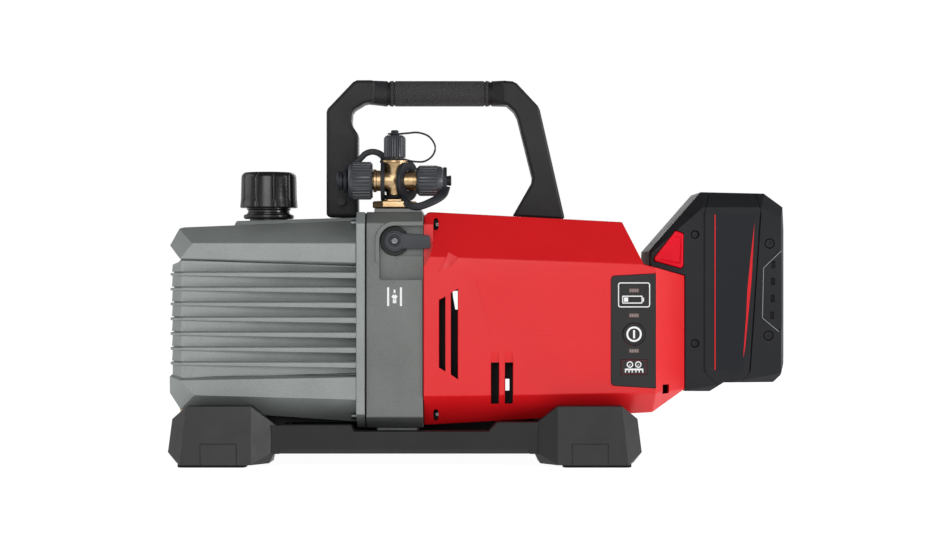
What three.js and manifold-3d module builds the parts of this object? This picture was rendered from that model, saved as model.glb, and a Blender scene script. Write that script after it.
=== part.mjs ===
// A cordless two-stage vacuum pump for refrigeration work, as a three.js scene graph.
// Millimetres, +Z up. X runs from the oil tank (-) to the battery (+), the front is -Y, and the
// origin is on the ground under the middle of the pump.
import * as THREE from 'three';
import { ConvexGeometry } from 'three/addons/geometries/ConvexGeometry.js';
import { mergeVertices } from 'three/addons/utils/BufferGeometryUtils.js';
import Module from 'manifold-3d';

const wasm = await Module();
wasm.setup();

// ---- driving dimensions ----
const END = 209.7; // half the overall length
const BODY = 65; // half width of tank, casting and motor housing at their widest
const FOOT_FRONT = 80; // half width over the feet
const GAP = 0.3; // clearance between neighbours

const TANK_RIGHT = -76.8; // outer face of the tank's flange
const FLANGE = 5.9; // its thickness
const CAST_LEFT = -76.2;
const CAST_RIGHT = -37.7;
const HOUSE_LEFT = -37.4;
const HOUSE_RIGHT = 140.4;
const WALL = 2.8; // wall of the plastic shells

const SHAFT_Z = 98; // height of the motor and pump axis
const SHAFT_R = 6;
const STAGE_BORE = 22;
const ROTOR_R = 17.5;

const CAP_AT = { x: -146.7, z: 171 }; // oil filler
const MANIFOLD = { x: -57.6, y: -34, z: 193.4 };
const LEVER = { x: -56.9, z: 151.8, face: -63 };
const PANEL = { x: 104.2, left: 88.8, right: 119, low: 51.8, high: 129.5 };
const DOCK = { low: 60, high: 114, stem: 24, head: 28 };

// ---- shape helpers ----
// A geometry with nothing but merged positions, wound outwards, as a boolean solid.
function solidOf(geometry) {
  const bare = new THREE.BufferGeometry();
  bare.setAttribute('position', geometry.getAttribute('position').clone());
  if (geometry.index) bare.setIndex(geometry.index.clone());
  const merged = mergeVertices(bare, 1e-3);
  const spots = merged.getAttribute('position');
  const corners = [...merged.index.array];
  const triangles = [];
  let volume = 0;
  for (let i = 0; i < corners.length; i += 3) {
    const [a, b, c] = corners.slice(i, i + 3);
    if (a === b || b === c || c === a) continue;
    triangles.push(a, b, c);
    const [p, q, r] = [a, b, c].map((n) => new THREE.Vector3().fromBufferAttribute(spots, n));
    volume += p.dot(q.cross(r));
  }
  if (volume < 0) triangles.reverse();
  return new wasm.Manifold(new wasm.Mesh({
    numProp: 3,
    vertProperties: new Float32Array(spots.array),
    triVerts: new Uint32Array(triangles),
  }));
}

function geometryOf(solid) {
  const mesh = solid.getMesh();
  const geometry = new THREE.BufferGeometry();
  geometry.setAttribute('position', new THREE.BufferAttribute(new Float32Array(mesh.vertProperties), 3));
  geometry.setIndex(new THREE.BufferAttribute(new Uint32Array(mesh.triVerts), 1));
  geometry.computeVertexNormals();
  return geometry;
}

const join = (...shapes) => geometryOf(shapes.map(solidOf).reduce((all, one) => all.add(one)));
const cut = (base, ...tools) => geometryOf(tools.map(solidOf)
  .reduce((all, one) => all.subtract(one), solidOf(base)));
const common = (a, b) => geometryOf(solidOf(a).intersect(solidOf(b)));

// Outlines of [a, b] corners pushed out along one axis, between two stations on it.
function extruded(outline, from, to, basis) {
  const shape = new THREE.Shape(outline.map(([a, b]) => new THREE.Vector2(a, b)));
  const geometry = new THREE.ExtrudeGeometry(shape, { depth: to - from, bevelEnabled: false });
  return geometry.translate(0, 0, from).applyMatrix4(basis);
}
const axis = { x: new THREE.Vector3(1, 0, 0), y: new THREE.Vector3(0, 1, 0), z: new THREE.Vector3(0, 0, 1) };
const alongX = (outline, from, to) => extruded(outline, from, to,
  new THREE.Matrix4().makeBasis(axis.y, axis.z, axis.x)); // outline [y, z]
const alongY = (outline, from, to) => extruded(outline.map(([x, z]) => [z, x]), from, to,
  new THREE.Matrix4().makeBasis(axis.z, axis.x, axis.y)); // outline [x, z]
const alongZ = (outline, from, to) => extruded(outline, from, to, new THREE.Matrix4()); // [x, y]

const box = (x0, x1, y0, y1, z0, z1) => new THREE.BoxGeometry(x1 - x0, y1 - y0, z1 - z0)
  .translate((x0 + x1) / 2, (y0 + y1) / 2, (z0 + z1) / 2);

// A profile of [radius, height] corners turned about +Z, +X or +Y through a centre.
function turned(profile, along = 'z', centre = [0, 0, 0], sides = 28) {
  const points = profile.map(([r, h]) => new THREE.Vector2(r, h));
  const geometry = new THREE.LatheGeometry(points, sides);
  if (along === 'z') geometry.rotateX(Math.PI / 2);
  if (along === 'x') geometry.rotateZ(-Math.PI / 2);
  return geometry.translate(...centre);
}
const rod = (r, from, to, along, centre, sides) => turned(
  [[0, from], [r, from], [r, to], [0, to]], along, centre, sides);
const ring = (inner, outer, from, to, along, centre, sides) => turned(
  [[inner, from], [outer, from], [outer, to], [inner, to], [inner, from]], along, centre, sides);

// The smallest convex solid around some corners; mirrored() adds each corner's twin across Y = 0.
const hull = (corners) => new ConvexGeometry(corners.map((c) => new THREE.Vector3(...c)));
const mirrored = (corners) => [...corners, ...corners.map(([x, y, z]) => [x, -y, z])];

// ---- scene graph ----
const group = new THREE.Group();
const LOOKS = {
  casting: [0x85898a, 0.55, 0.6], black: [0x2c2c2f, 0.55, 0], grip: [0x242426, 0.8, 0],
  red: [0xd2232a, 0.4, 0], brass: [0xb98a3c, 0.35, 1], steel: [0xb4b6b8, 0.35, 1],
  rubber: [0x1b1b1d, 0.9, 0], glass: [0xb9c7c4, 0.08, 0], cap: [0x35383d, 0.6, 0],
  panel: [0x38393c, 0.6, 0], board: [0x1f5b34, 0.6, 0], cell: [0x3c7fb0, 0.5, 0],
  copper: [0xb36b3f, 0.4, 1], release: [0xd8102c, 0.4, 0],
};
function add(name, geometry, look, place = [0, 0, 0]) {
  const [color, roughness, metalness] = LOOKS[look];
  const mesh = new THREE.Mesh(geometry, new THREE.MeshStandardMaterial({ color, roughness, metalness }));
  mesh.name = name;
  mesh.position.set(...place);
  group.add(mesh);
  return mesh;
}

// ---- feet: one chunky moulding at each corner, with its pad ----
function footShape(grow) {
  const g = grow;
  const block = hull([
    [-199.6, -FOOT_FRONT - g, 2], [-195.5, -77 - g, 41 + g], [-152.4, -77 - g, 41 + g], [-152.4, -FOOT_FRONT - g, 2],
    [-136.4 + g, -68, 28 + g], [-136.4 + g, -68, 11], [-141 + g, -68, 2.4],
    [-END - g, -62, 9.5], [-207 - g, -60, 31.7], [-204 - g, -62, 2.4],
    [-195.5, -60, 41 + g], [-152.4, -60, 41 + g], [-203 - g, -40 + g, 26], [-203 - g, -40 + g, 2.4],
    [-140 + g, -40 + g, 26], [-140 + g, -40 + g, 2.4],
  ]);
  return join(block, box(-200 - g, -158 + g, -75 - g, -44 + g, 0, 3));
}
function mirroredCopy(geometry, sx, sy) {
  const copy = geometry.clone().scale(sx, sy, 1);
  return geometryOf(solidOf(copy));
}
const FOOT_SHIFT = -100; // the right feet stand this far in from the mirror of the left ones
const CORNERS = [['front_left', 1, 1], ['rear_left', 1, -1], ['front_right', -1, 1], ['rear_right', -1, -1]];
const footAt = (grow, sx, sy) => mirroredCopy(footShape(grow), sx, sy)
  .translate(sx < 0 ? FOOT_SHIFT : 0, 0, 0);
for (const [corner, sx, sy] of CORNERS) add(`foot_${corner}`, footAt(0, sx, sy), 'black');

// ---- base frame: a tray with a rail along each side, notched for the feet ----
function baseFrame() {
  const rail = alongY([
    [-150, 8.8], [50, 8.8], [50, 30], [12, 30], [6.5, 23.8], [-84, 23.8], [-86, 28], [-150, 28],
  ], -70.5, -54);
  const otherRail = mirroredCopy(rail, 1, -1);
  const tray = box(-190, 90, -56, 56, 12, 16);
  const post = box(-69, -42, -50, 50, 15, 22.7);
  const notches = CORNERS.map(([, sx, sy]) => footAt(GAP, sx, sy));
  return cut(join(rail, otherRail, tray, post), ...notches);
}
add('base_frame', baseFrame(), 'black');

// ---- oil tank: upper and lower blocks, seven fins, and the flange that bolts to the casting ----
const tankPitch = 10.05;
const lowestFin = 68.1;
function oilTank() {
  const right = TANK_RIGHT - FLANGE;
  const upper = hull(mirrored([
    [-201.4, BODY, 150.2], [-201.4, BODY, 139], [right, BODY, 150.2], [right, BODY, 138],
    [-209.2, 52, 139], [-209.2, 50, 147.5], [-200, 42, 161.5], [right, 42, 166],
  ]));
  const plinth = hull(mirrored([
    [-168, 32, 160], [-166.5, 30, 166], [right, 32, 160], [right, 30, 168.3],
  ]));
  const lower = hull(mirrored([
    [-201.4, BODY, 57.9], [-201.4, BODY, 47.8], [right, BODY, 59.2], [right, BODY, 45],
    [-209.2, 52, 57], [-209.2, 50, 50], [-198, 45, 38], [right, 45, 29],
  ]));
  const core = hull(mirrored([
    [-197, 59, 52], [-204, 50, 52], [right, 59, 52], [-197, 59, 145], [-204, 50, 145], [right, 59, 145],
  ]));
  const fins = [];
  for (let i = 0; i < 7; i += 1) {
    const z = lowestFin + i * tankPitch;
    fins.push(alongZ([
      [right, -BODY], [-201.4, -BODY], [-209.2, -52], [-209.2, 52], [-201.4, BODY], [right, BODY],
    ], z - 1.2, z + 1.2));
  }
  const flange = alongX([
    [-45, 25], [45, 25], [66, 34], [66, 164], [57, 171.6], [-57, 171.6], [-66, 164], [-66, 34],
  ], right, TANK_RIGHT);
  const boss = rod(19, -209.2, -190, 'x', [0, 0, 88]);
  const hollow = join(
    box(-197, TANK_RIGHT + 1, -52, 52, 47, 150),
    rod(12, -215, -190, 'x', [0, 0, 88]),
    rod(17.2, -215, -204.6, 'x', [0, 0, 88]),
    rod(13.6, 140, 180, 'z', [CAP_AT.x, 0, 0]),
    rod(5.6, -215, -199.1, 'x', [0, -28, 39.5], 16),
    rod(3.7, -215, -185, 'x', [0, -28, 39.5], 16),
  );
  return cut(join(upper, plinth, lower, core, ...fins, flange, boss), hollow);
}
add('oil_tank', oilTank(), 'casting');
add('tank_gasket', cut(
  alongX([[-44, 26], [44, 26], [64, 35], [64, 163], [56, 170], [-56, 170], [-64, 163], [-64, 35]],
    TANK_RIGHT + 0.05, CAST_LEFT - 0.05),
  box(-80, -70, -52, 52, 47, 150),
), 'rubber');

// ---- sight glass on the tank's end ----
add('sight_glass_bezel', ring(12.6, 17, 0, 4.6, 'x', [0, 0, 0]), 'black', [-209.5, 0, 88]);
add('sight_glass', rod(12.3, 0, 3.8, 'x', [0, 0, 0]), 'glass', [-208.8, 0, 88]);

// ---- drain valve low on the tank's end, with its screw cap and washer ----
const DRAIN = [-199, -28, 39.5];
add('drain_valve', turned([[0, -4.6], [2.8, -4.6], [2.8, 0], [3.4, 0], [3.4, 14], [0, 14]], 'x', [0, 0, 0], 16),
  'brass', DRAIN);
add('drain_washer', ring(3.6, 4.9, 0, 1.4, 'x', [0, 0, 0], 16), 'brass', [DRAIN[0] - 1.6, DRAIN[1], DRAIN[2]]);
add('drain_cap', turned([[0, 0], [4.6, 0], [5.2, 0.8], [5.2, 4.4], [3.2, 4.4], [3.2, 1.2], [0, 1.2]], 'x', [0, 0, 0], 16),
  'brass', [DRAIN[0] - 6.2, DRAIN[1], DRAIN[2]]);

// ---- oil filler neck and its cap, which also vents the exhaust ----
add('filler_neck', turned([
  [10.5, -16], [13.3, -16], [13.3, -3.2], [17.8, -3.2], [17.8, 0], [14.6, 0], [14.6, 4.2], [13.8, 4.2], [13.8, 18],
  [10.5, 18], [10.5, -16],
]), 'black', [CAP_AT.x, 0, CAP_AT.z]);
add('oil_cap', turned([
  [14.2, 4.6], [20.1, 4.6], [19.3, 9], [19.3, 27.5], [17.4, 29.4], [0, 29.4], [0, 21.2], [14.2, 21.2], [14.2, 4.6],
], 'z', [0, 0, 0], 40), 'cap', [CAP_AT.x, 0, CAP_AT.z]);
add('oil_cap_seal', ring(10.6, 13.7, 18.4, 20.8), 'rubber', [CAP_AT.x, 0, CAP_AT.z]);

// ---- centre casting: the pump's head, which carries the valve and the inlet ----
function pumpCasting() {
  const block = hull(mirrored([
    [CAST_LEFT, 48, 25], [CAST_LEFT, 63, 33], [CAST_LEFT, 63, 165], [CAST_LEFT, 55, 171.6],
    [CAST_RIGHT, 48, 25], [CAST_RIGHT, 63, 33], [CAST_RIGHT, 63, 165], [CAST_RIGHT, 55, 171.6],
  ]));
  const topPad = alongZ([[-71, -50], [-39, -50], [-39, 50], [-71, 50]], 170, 174);
  const footPad = box(-69, -42, -46, 46, 23, 27);
  const depth = LEVER.face + 7.4;
  const recess = alongY([
    [-66.6, 146], [-66.6, 157.4], [-62, 162], [CAST_RIGHT + 2, 162], [CAST_RIGHT + 2, 125.4],
    [-63, 125.4], [-66.6, 131],
  ], -70, depth);
  return cut(join(block, topPad, footPad),
    recess,
    rod(8.2, -60, -22, 'y', [LEVER.x, 0, LEVER.z]),
    rod(6.2, LEVER.z, 180, 'z', [MANIFOLD.x, MANIFOLD.y, 0], 20),
    rod(9.5, CAST_LEFT - 5, CAST_RIGHT + 5, 'x', [0, 0, SHAFT_Z]),
    box(-60, CAST_RIGHT + 5, -20, 48, 45, 140));
}
add('pump_casting', pumpCasting(), 'casting');

// ---- isolation valve: lever, screw and rotary plug turn together ----
const arm = alongY([
  [-8.6, -3.6], [-6.4, -6.4], [0, -9.2], [6, -7], [10, -5.4], [23, -5.4], [24.4, -4], [24.4, 3.6], [22.8, 5.1],
  [10, 5.1], [6, 7], [0, 9.2], [-6.4, 6.4], [-8.6, 3.6],
], 1, 5.6);
add('valve_lever', cut(arm, rod(2.2, -1, 8, 'y', [0, 0, 0], 12)), 'black', [LEVER.x, LEVER.face - 0.4, LEVER.z]);
add('lever_screw', turned([[0, -1.6], [3.4, -1.6], [3.4, 0.5], [1.9, 0.5], [1.9, 12], [0, 12]], 'y', [0, 0, 0], 16),
  'steel', [LEVER.x, LEVER.face, LEVER.z]);
add('valve_plug', cut(
  rod(8, 6, 40, 'y', [0, 0, 0]),
  rod(2.1, 0, 13, 'y', [0, 0, 0], 12),
  rod(4, -12, 12, 'z', [0, MANIFOLD.y - LEVER.face, 0], 16),
), 'steel', [LEVER.x, LEVER.face, LEVER.z]);

// ---- inlet manifold: a brass body with three flare ports ----
function inletManifold() {
  const hex = [];
  for (let i = 0; i < 6; i += 1) hex.push([15.5 * Math.cos(i * Math.PI / 3), 15.5 * Math.sin(i * Math.PI / 3)]);
  const body = join(
    alongZ(hex, -19.1, -14),
    rod(5.8, -33, -19, 'z', [0, 0, 0], 20),
    rod(9, -14.5, -6.2, 'z', [0, 0, 0]),
    box(-8.3, 8.3, -8.3, 8.3, -9, 8.6),
    turned([[0, -26.6], [6.3, -26.6], [6.3, -14.7], [7.8, -14.7], [7.8, 0], [0, 0]], 'x'),
    turned([[0, 0], [7, 0], [7, 14.6], [5.2, 14.6], [5.2, 27], [0, 27]], 'x'),
    turned([[0, 0], [5.8, 0], [5.8, 15], [3.4, 15], [3.4, 24.6], [0, 24.6]], 'z'),
  );
  return cut(body, rod(3.6, -40, 4.3, 'z', [0, 0, 0], 14), rod(2.6, -30, 30, 'x', [0, 0, 0], 10),
    rod(1.9, 0, 30, 'z', [0, 0, 0], 12));
}
add('inlet_manifold', inletManifold(), 'brass', [MANIFOLD.x, MANIFOLD.y, MANIFOLD.z]);

// Each port has a screw cap, a swivel on the cap's end, and a strap from the swivel to the port.
// Heights run out along the port from the manifold's centre.
const CAPS = [
  { name: 'top', along: 'z', sign: 1, r: 7.5, bore: 3.8, from: 15.6, to: 31, hub: 4.4, end: 34.6 },
  { name: 'left', along: 'x', sign: -1, r: 13, bore: 6.7, from: 15, to: 31.4, hub: 6.5, end: 40 },
  { name: 'right', along: 'x', sign: 1, r: 10.5, bore: 5.6, from: 15.1, to: 32.9, hub: 6, end: 39 },
];
for (const { name, along, sign, r, bore, from, to, hub, end } of CAPS) {
  const inside = to - 3;
  const cap = turned([
    [bore, from], [r - 0.8, from], [r, from + 1], [r, to - 1.6], [r - 1.6, to], [0, to], [0, inside],
    [bore, inside], [bore, from],
  ], along);
  const swivel = turned([
    [0, to + GAP], [hub, to + GAP], [hub, end - 1.2], [hub - 1.4, end], [0, end],
  ], along, [0, 0, 0], 20);
  if (sign < 0) [cap, swivel].forEach((shape) => shape.rotateZ(Math.PI));
  add(`flare_cap_${name}`, cap, 'cap', [MANIFOLD.x, MANIFOLD.y, MANIFOLD.z]);
  add(`cap_swivel_${name}`, swivel, 'cap', [MANIFOLD.x, MANIFOLD.y, MANIFOLD.z]);
}

// A strap is a thin flat band along a curve through a few chosen points, from swivel to port.
function strap(points, wide, thick) {
  const path = new THREE.CatmullRomCurve3(points.map((p) => new THREE.Vector3(...p)));
  const w = wide / 2;
  const t = thick / 2;
  const section = new THREE.Shape([[-t, -w], [t, -w], [t, w], [-t, w]].map(([a, b]) => new THREE.Vector2(a, b)));
  return new THREE.ExtrudeGeometry(section, { steps: 18, extrudePath: path, bevelEnabled: false });
}
const STRAPS = {
  top: [[5.4, 0, 32.6], [14, 1, 31], [24, 2, 27], [27, 2, 22], [20, 1, 16.5], [9, 0, 13.6]],
  left: [[-35, 0, 7.3], [-34, 4, 16], [-26, 6, 22], [-17, 6, 20.5], [-13, 4, 14], [-11.6, 0, 9]],
  right: [[35, 0, -6.8], [33, 1, -13], [26.5, 2, -18], [20.5, 2, -16.5], [15.9, 1, -12.3], [13.2, 0, -9.6]],
};
for (const [name, points] of Object.entries(STRAPS)) {
  add(`cap_strap_${name}`, strap(points, 2.4, 1.4), 'cap', [MANIFOLD.x, MANIFOLD.y, MANIFOLD.z]);
}

// ---- carrying handle and its grip sleeve ----
const GRIP = { from: -61.5, to: 7, z: 255.6, r: 9, core: 7 };
function handle() {
  const frame = alongY([
    [-105.8, 168.8], [-105.8, 242.4], [-85.1, 264.3], [-61.8, 264.3], [-61.8, 249], [-77.8, 249],
    [-87.6, 243], [-88.4, 234], [-83.8, 226], [-83.8, 168.8],
  ], -13, 13);
  const rightLeg = alongY([
    [7.3, 264.3], [24.9, 263.4], [42.3, 244.8], [60.1, 167.1], [23.4, 169.1], [37.5, 195.2], [26.2, 240.6], [18, 248], [7.3, 249],
  ], -13, 13);
  return join(frame, rightLeg, rod(GRIP.core, -63, 9, 'x', [0, 0, GRIP.z], 20));
}
add('handle', handle(), 'black');
add('handle_grip', ring(GRIP.core + 0.1, GRIP.r, GRIP.from, GRIP.to, 'x', [0, 0, GRIP.z]), 'grip');

// ---- motor housing: one outer form, hollowed and split into a front and a rear half ----
function housingForm(inset) {
  const i = inset;
  const side = BODY - i;
  const whole = hull(mirrored([
    [HOUSE_LEFT - (i ? 1 : 0), 45 - i / 2, 26.6 + i], [HOUSE_LEFT - (i ? 1 : 0), side, 47.6],
    [HOUSE_LEFT - (i ? 1 : 0), side, 141.2], [HOUSE_LEFT - (i ? 1 : 0), 43 - i / 2, 172 - i],
    [97.7 - i, 43 - i / 2, 164.9 - i], [110.9 - i, side, 135.9 - i], [119 - i, side, 133.9 - i],
    [119 - i, side, 49.4], [118 - i, 45 - i / 2, 35.3 + i], [HOUSE_RIGHT - i, 41 - i / 2, 128.5 - i],
    [HOUSE_RIGHT - i, 41 - i / 2, 51],
  ]));
  // The back falls steeply behind the handle, then runs on as the ledge under the battery's nose.
  const behindHandle = alongY([
    [97.7 - i, 164.9], [110.9 - i, 135.9 - i], [150, 126 - i], [150, 190], [97.7 - i, 190],
  ], -90, 90);
  return cut(whole, behindHandle);
}
// Vent slots: parallelograms given by their left edge, right edge, low and high ends.
const SLOTS = [[-26.9, -22.7, 63.9, 109, 2.6], [-18.7, -14.3, 59.2, 116.5, 2.8], [8, 13.3, 42, 69.6, 0],
  [17.5, 22.7, 42, 69.6, 0]];
const slotTool = ([x0, x1, z0, z1, rise], from, to) => alongY([
  [x0, z0 + rise], [x1, z0], [x1, z1 + rise], [x0, z1],
], from, to);
function housingHalf(side) {
  const shell = cut(housingForm(0), housingForm(WALL));
  const keep = side < 0 ? box(-60, 160, -90, -0.05, 0, 200) : box(-60, 160, 0.05, 90, 0, 200);
  const slots = SLOTS.map((slot) => (side < 0 ? slotTool(slot, -80, -40) : slotTool(slot, 40, 80)));
  const dockHole = box(130, 150, -DOCK.stem - 0.5, DOCK.stem + 0.5, DOCK.low - 0.5, DOCK.high + 0.5);
  const tools = [...slots, dockHole];
  if (side < 0) {
    tools.push(alongY([
      [-45, 135.2], [-36.6, 135.2], [-34, 140], [-32.1, 144.5], [-31.4, 148], [-31.4, 160], [-34, 162], [-45, 162],
    ], -80, -55)); // the sweep of the lever's tip
    tools.push(alongY([
      [PANEL.left - GAP, PANEL.low + 3], [PANEL.left + 3, PANEL.low - GAP], [PANEL.right + GAP, PANEL.low - GAP],
      [PANEL.right + GAP, PANEL.high + GAP], [PANEL.left + 2, PANEL.high - 3], [PANEL.left - GAP, PANEL.high - 6],
    ], -80, -55));
  }
  return cut(common(shell, keep), ...tools);
}
add('housing_front', housingHalf(-1), 'red');
add('housing_rear', housingHalf(1), 'red');

// ---- control panel with its three buttons and the board behind it ----
const BUTTONS = {
  battery_check_button: { z: 115.4, w: 21.4, h: 16.6 },
  mode_button: { z: 66.9, w: 17, h: 9.8 },
};
function controlPanel() {
  const plate = alongY([
    [PANEL.left, PANEL.low + 3], [PANEL.left + 3, PANEL.low], [PANEL.right, PANEL.low],
    [PANEL.right, PANEL.high], [PANEL.left + 2, PANEL.high - 3], [PANEL.left, PANEL.high - 6],
  ], -65.2, -62.4);
  const holes = Object.values(BUTTONS).map(({ z, w, h }) => box(
    PANEL.x - w / 2 - GAP, PANEL.x + w / 2 + GAP, -70, -60, z - h / 2 - GAP, z + h / 2 + GAP));
  return cut(plate, ...holes, rod(7.5 + GAP, -70, -60, 'y', [PANEL.x, 0, 89]));
}
add('control_panel', controlPanel(), 'panel');
for (const [name, { z, w, h }] of Object.entries(BUTTONS)) {
  add(name, new THREE.BoxGeometry(w, 4, h), 'panel', [PANEL.x, -63.6, z]);
}
add('power_button', rod(7.5, -2.4, 2, 'y', [0, 0, 0]), 'panel', [PANEL.x, -63.6, 89]);
add('control_board', box(PANEL.left + 4, PANEL.right - 6, -58, -56.4, PANEL.low + 4, PANEL.high - 8), 'board');

// ---- motor: stator, rotor on its shaft, fan and end bell ----
add('motor_stator', ring(25, 42, -8, 40, 'x', [0, 0, 0], 32), 'copper', [0, 0, SHAFT_Z]);
add('motor_rotor', turned([
  [0, -34], [SHAFT_R, -34], [SHAFT_R, -6], [24.4, -6], [24.4, 38], [5, 38], [5, 72], [0, 72],
], 'x'), 'steel', [0, 0, SHAFT_Z]);
add('motor_end_bell', turned([
  [5.4, 64], [9, 64], [9, 60], [46, 60], [46, 64], [13, 68], [13, 70], [5.4, 70], [5.4, 64],
], 'x'), 'casting', [0, 0, SHAFT_Z]);
function coolingFan() {
  const blades = [];
  for (let i = 0; i < 9; i += 1) {
    blades.push(box(43, 55, -0.9, 0.9, 9, 40).rotateX(i * 2 * Math.PI / 9));
  }
  return join(ring(5.1, 11, 42, 57, 'x'), ring(10, 38, 55, 56.6, 'x'), ...blades);
}
add('cooling_fan', coolingFan(), 'black', [0, 0, SHAFT_Z]);

// ---- pump: shaft, coupling, two stages side by side in the oil, and the seal in the casting ----
add('drive_coupling', ring(SHAFT_R + 0.1, 14, -58, -24, 'x', [0, 0, 0], 24), 'steel', [0, 0, SHAFT_Z]);
add('pump_shaft', rod(SHAFT_R, -150, -35, 'x', [0, 0, 0], 24), 'steel', [0, 0, SHAFT_Z]);
add('shaft_seal', ring(SHAFT_R + 0.1, 9.3, -74, -67, 'x', [0, 0, 0], 24), 'rubber', [0, 0, SHAFT_Z]);
const OFFSET = 4; // the rotors sit this far below the middle of their bores
function stageRing(from, to) {
  return cut(rod(34, from, to, 'x', [0, 0, 0], 32), rod(STAGE_BORE, from - 1, to + 1, 'x', [0, 0, OFFSET], 32));
}
add('first_stage_ring', stageRing(-112, CAST_LEFT), 'casting', [0, 0, SHAFT_Z]);
add('stage_divider', ring(SHAFT_R + 0.1, 34, -118, -112.1, 'x'), 'casting', [0, 0, SHAFT_Z]);
add('second_stage_ring', stageRing(-138, -118.1), 'casting', [0, 0, SHAFT_Z]);
add('pump_end_plate', ring(SHAFT_R + 0.1, 34, -146, -138.1, 'x'), 'casting', [0, 0, SHAFT_Z]);
function rotor(from, to) {
  const slots = box(from - 1, to + 1, -1.6, 1.6, 8, ROTOR_R + 2);
  const opposite = slots.clone().rotateX(Math.PI);
  return cut(ring(SHAFT_R + 0.05, ROTOR_R, from, to, 'x'), slots, opposite);
}
add('first_stage_rotor', rotor(-111.7, CAST_LEFT - GAP), 'steel', [0, 0, SHAFT_Z]);
add('second_stage_rotor', rotor(-137.7, -118.4), 'steel', [0, 0, SHAFT_Z]);

// ---- battery dock: a T rail on the housing's end face, with the blade terminals on top ----
add('battery_dock', join(
  box(136, 147, -DOCK.stem, DOCK.stem, DOCK.low, DOCK.high),
  box(146.6, 150, -DOCK.head, DOCK.head, DOCK.low, DOCK.high),
), 'black');
const blades = [-15, -5, 5, 15].map((y) => box(145.4, 146.2, y - 2.5, y + 2.5, DOCK.high + 1, DOCK.high + 9));
add('dock_terminals', join(box(143, 149, -20, 20, DOCK.high + 0.05, DOCK.high + 2), ...blades), 'brass');

// ---- battery pack: three shells around the cells, sliding up off the dock ----
const PACK = { split: 153.8, half: 41, top: 185.6 };
function packForm() {
  return hull(mirrored([
    [116.4, 36, 136.6], [116.4, 34, 145], [152, 34, PACK.top], [153, PACK.half, 175],
    [117, 40, 137.5], [118, 40, 144], [HOUSE_RIGHT + GAP, PACK.half, 129.6], [HOUSE_RIGHT + GAP, PACK.half, 50],
    [HOUSE_RIGHT + GAP, 36, 49.2], [157.8, 36, 49.2], [195.4, 34, PACK.top - 1], [END - 1.5, 34, 175.2],
    [193, PACK.half, 175], [END - 3, PACK.half - 1.5, 168], [END - 3, PACK.half - 1.5, 62], [END, 28, 160], [END, 28, 68],
    [END - 3, 34, 59.7], [201, 34, 54.5], [196, PACK.half, 60], [158, PACK.half, 56],
  ]));
}
const lean = 0.0667; // the end case's joint leans by this much per mm of height
const middleJoint = (x) => [[x + lean * 150 - 8, 200], [x - 8, 50], [x - 8, 20]];
const packEnd = alongY([...middleJoint(194.2), [230, 20], [230, 200]], -60, 60);
const packMiddle = alongY([[PACK.split + 0.1, 20], ...middleJoint(194).reverse(), [PACK.split + 0.1, 200]], -60, 60);
const packInner = box(100, PACK.split - 0.1, -60, 60, 20, 200);
const cellRoom = box(157, 204.5, -37, 37, 60.5, 177);
const channel = join(
  box(130, 147.4, -DOCK.stem - 0.5, DOCK.stem + 0.5, 40, 126),
  box(146.1, 150.5, -DOCK.head - 0.5, DOCK.head + 0.5, 40, 126),
);
const BUTTON_OUTLINE = [[134.4, 159.2], [139.8, 157.1], [139.6, 134.7], [137.8, 133.3], [119.8, 138.3], [120.1, 141.2]];
const grownOutline = BUTTON_OUTLINE.map(([x, z]) => [x + (x - 133) * 0.03, z + (z - 143) * 0.03]);
const releasePocket = (side) => (side < 0
  ? alongY(grownOutline, -60, -PACK.half + 10) : alongY(grownOutline, PACK.half - 10, 60));
add('battery_inner_case', cut(common(packForm(), packInner), housingForm(-0.5), channel,
  box(100, HOUSE_RIGHT + 0.5, -60, 60, 20, 128),
  releasePocket(-1), releasePocket(1), box(143, 160, -28, 28, 130, 176)), 'black');
add('battery_middle_case', cut(common(packForm(), packMiddle), cellRoom), 'black');
add('battery_end_case', cut(common(packForm(), packEnd), cellRoom,
  box(END - 2, END + 5, -6, 6, 138, 146)), 'black');
function releaseButton(side) {
  const outer = PACK.half + 0.4;
  const inner = PACK.half - 5;
  return side < 0 ? alongY(BUTTON_OUTLINE, -outer, -inner) : alongY(BUTTON_OUTLINE, inner, outer);
}
add('release_button_front', releaseButton(-1), 'release');
add('release_button_rear', releaseButton(1), 'release');
add('charge_gauge_button', new THREE.BoxGeometry(1, 11.2, 7.2), 'panel', [END - 0.7, 0, 142]);
function cellPack() {
  const cells = [];
  const pitch = 22.4;
  for (let row = 0; row < 5; row += 1) {
    for (const x of [168.8, 191.2]) cells.push(rod(10.8, -35, 35, 'y', [x, 0, 72.6 + row * pitch], 10));
  }
  return join(...cells, box(158.5, 203, -30, -26, 62, 174), box(158.5, 203, 26, 30, 62, 174));
}
add('cell_pack', cellPack(), 'cell');

export default group;
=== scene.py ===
import math

import bpy
from mathutils import Matrix, Vector


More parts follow.
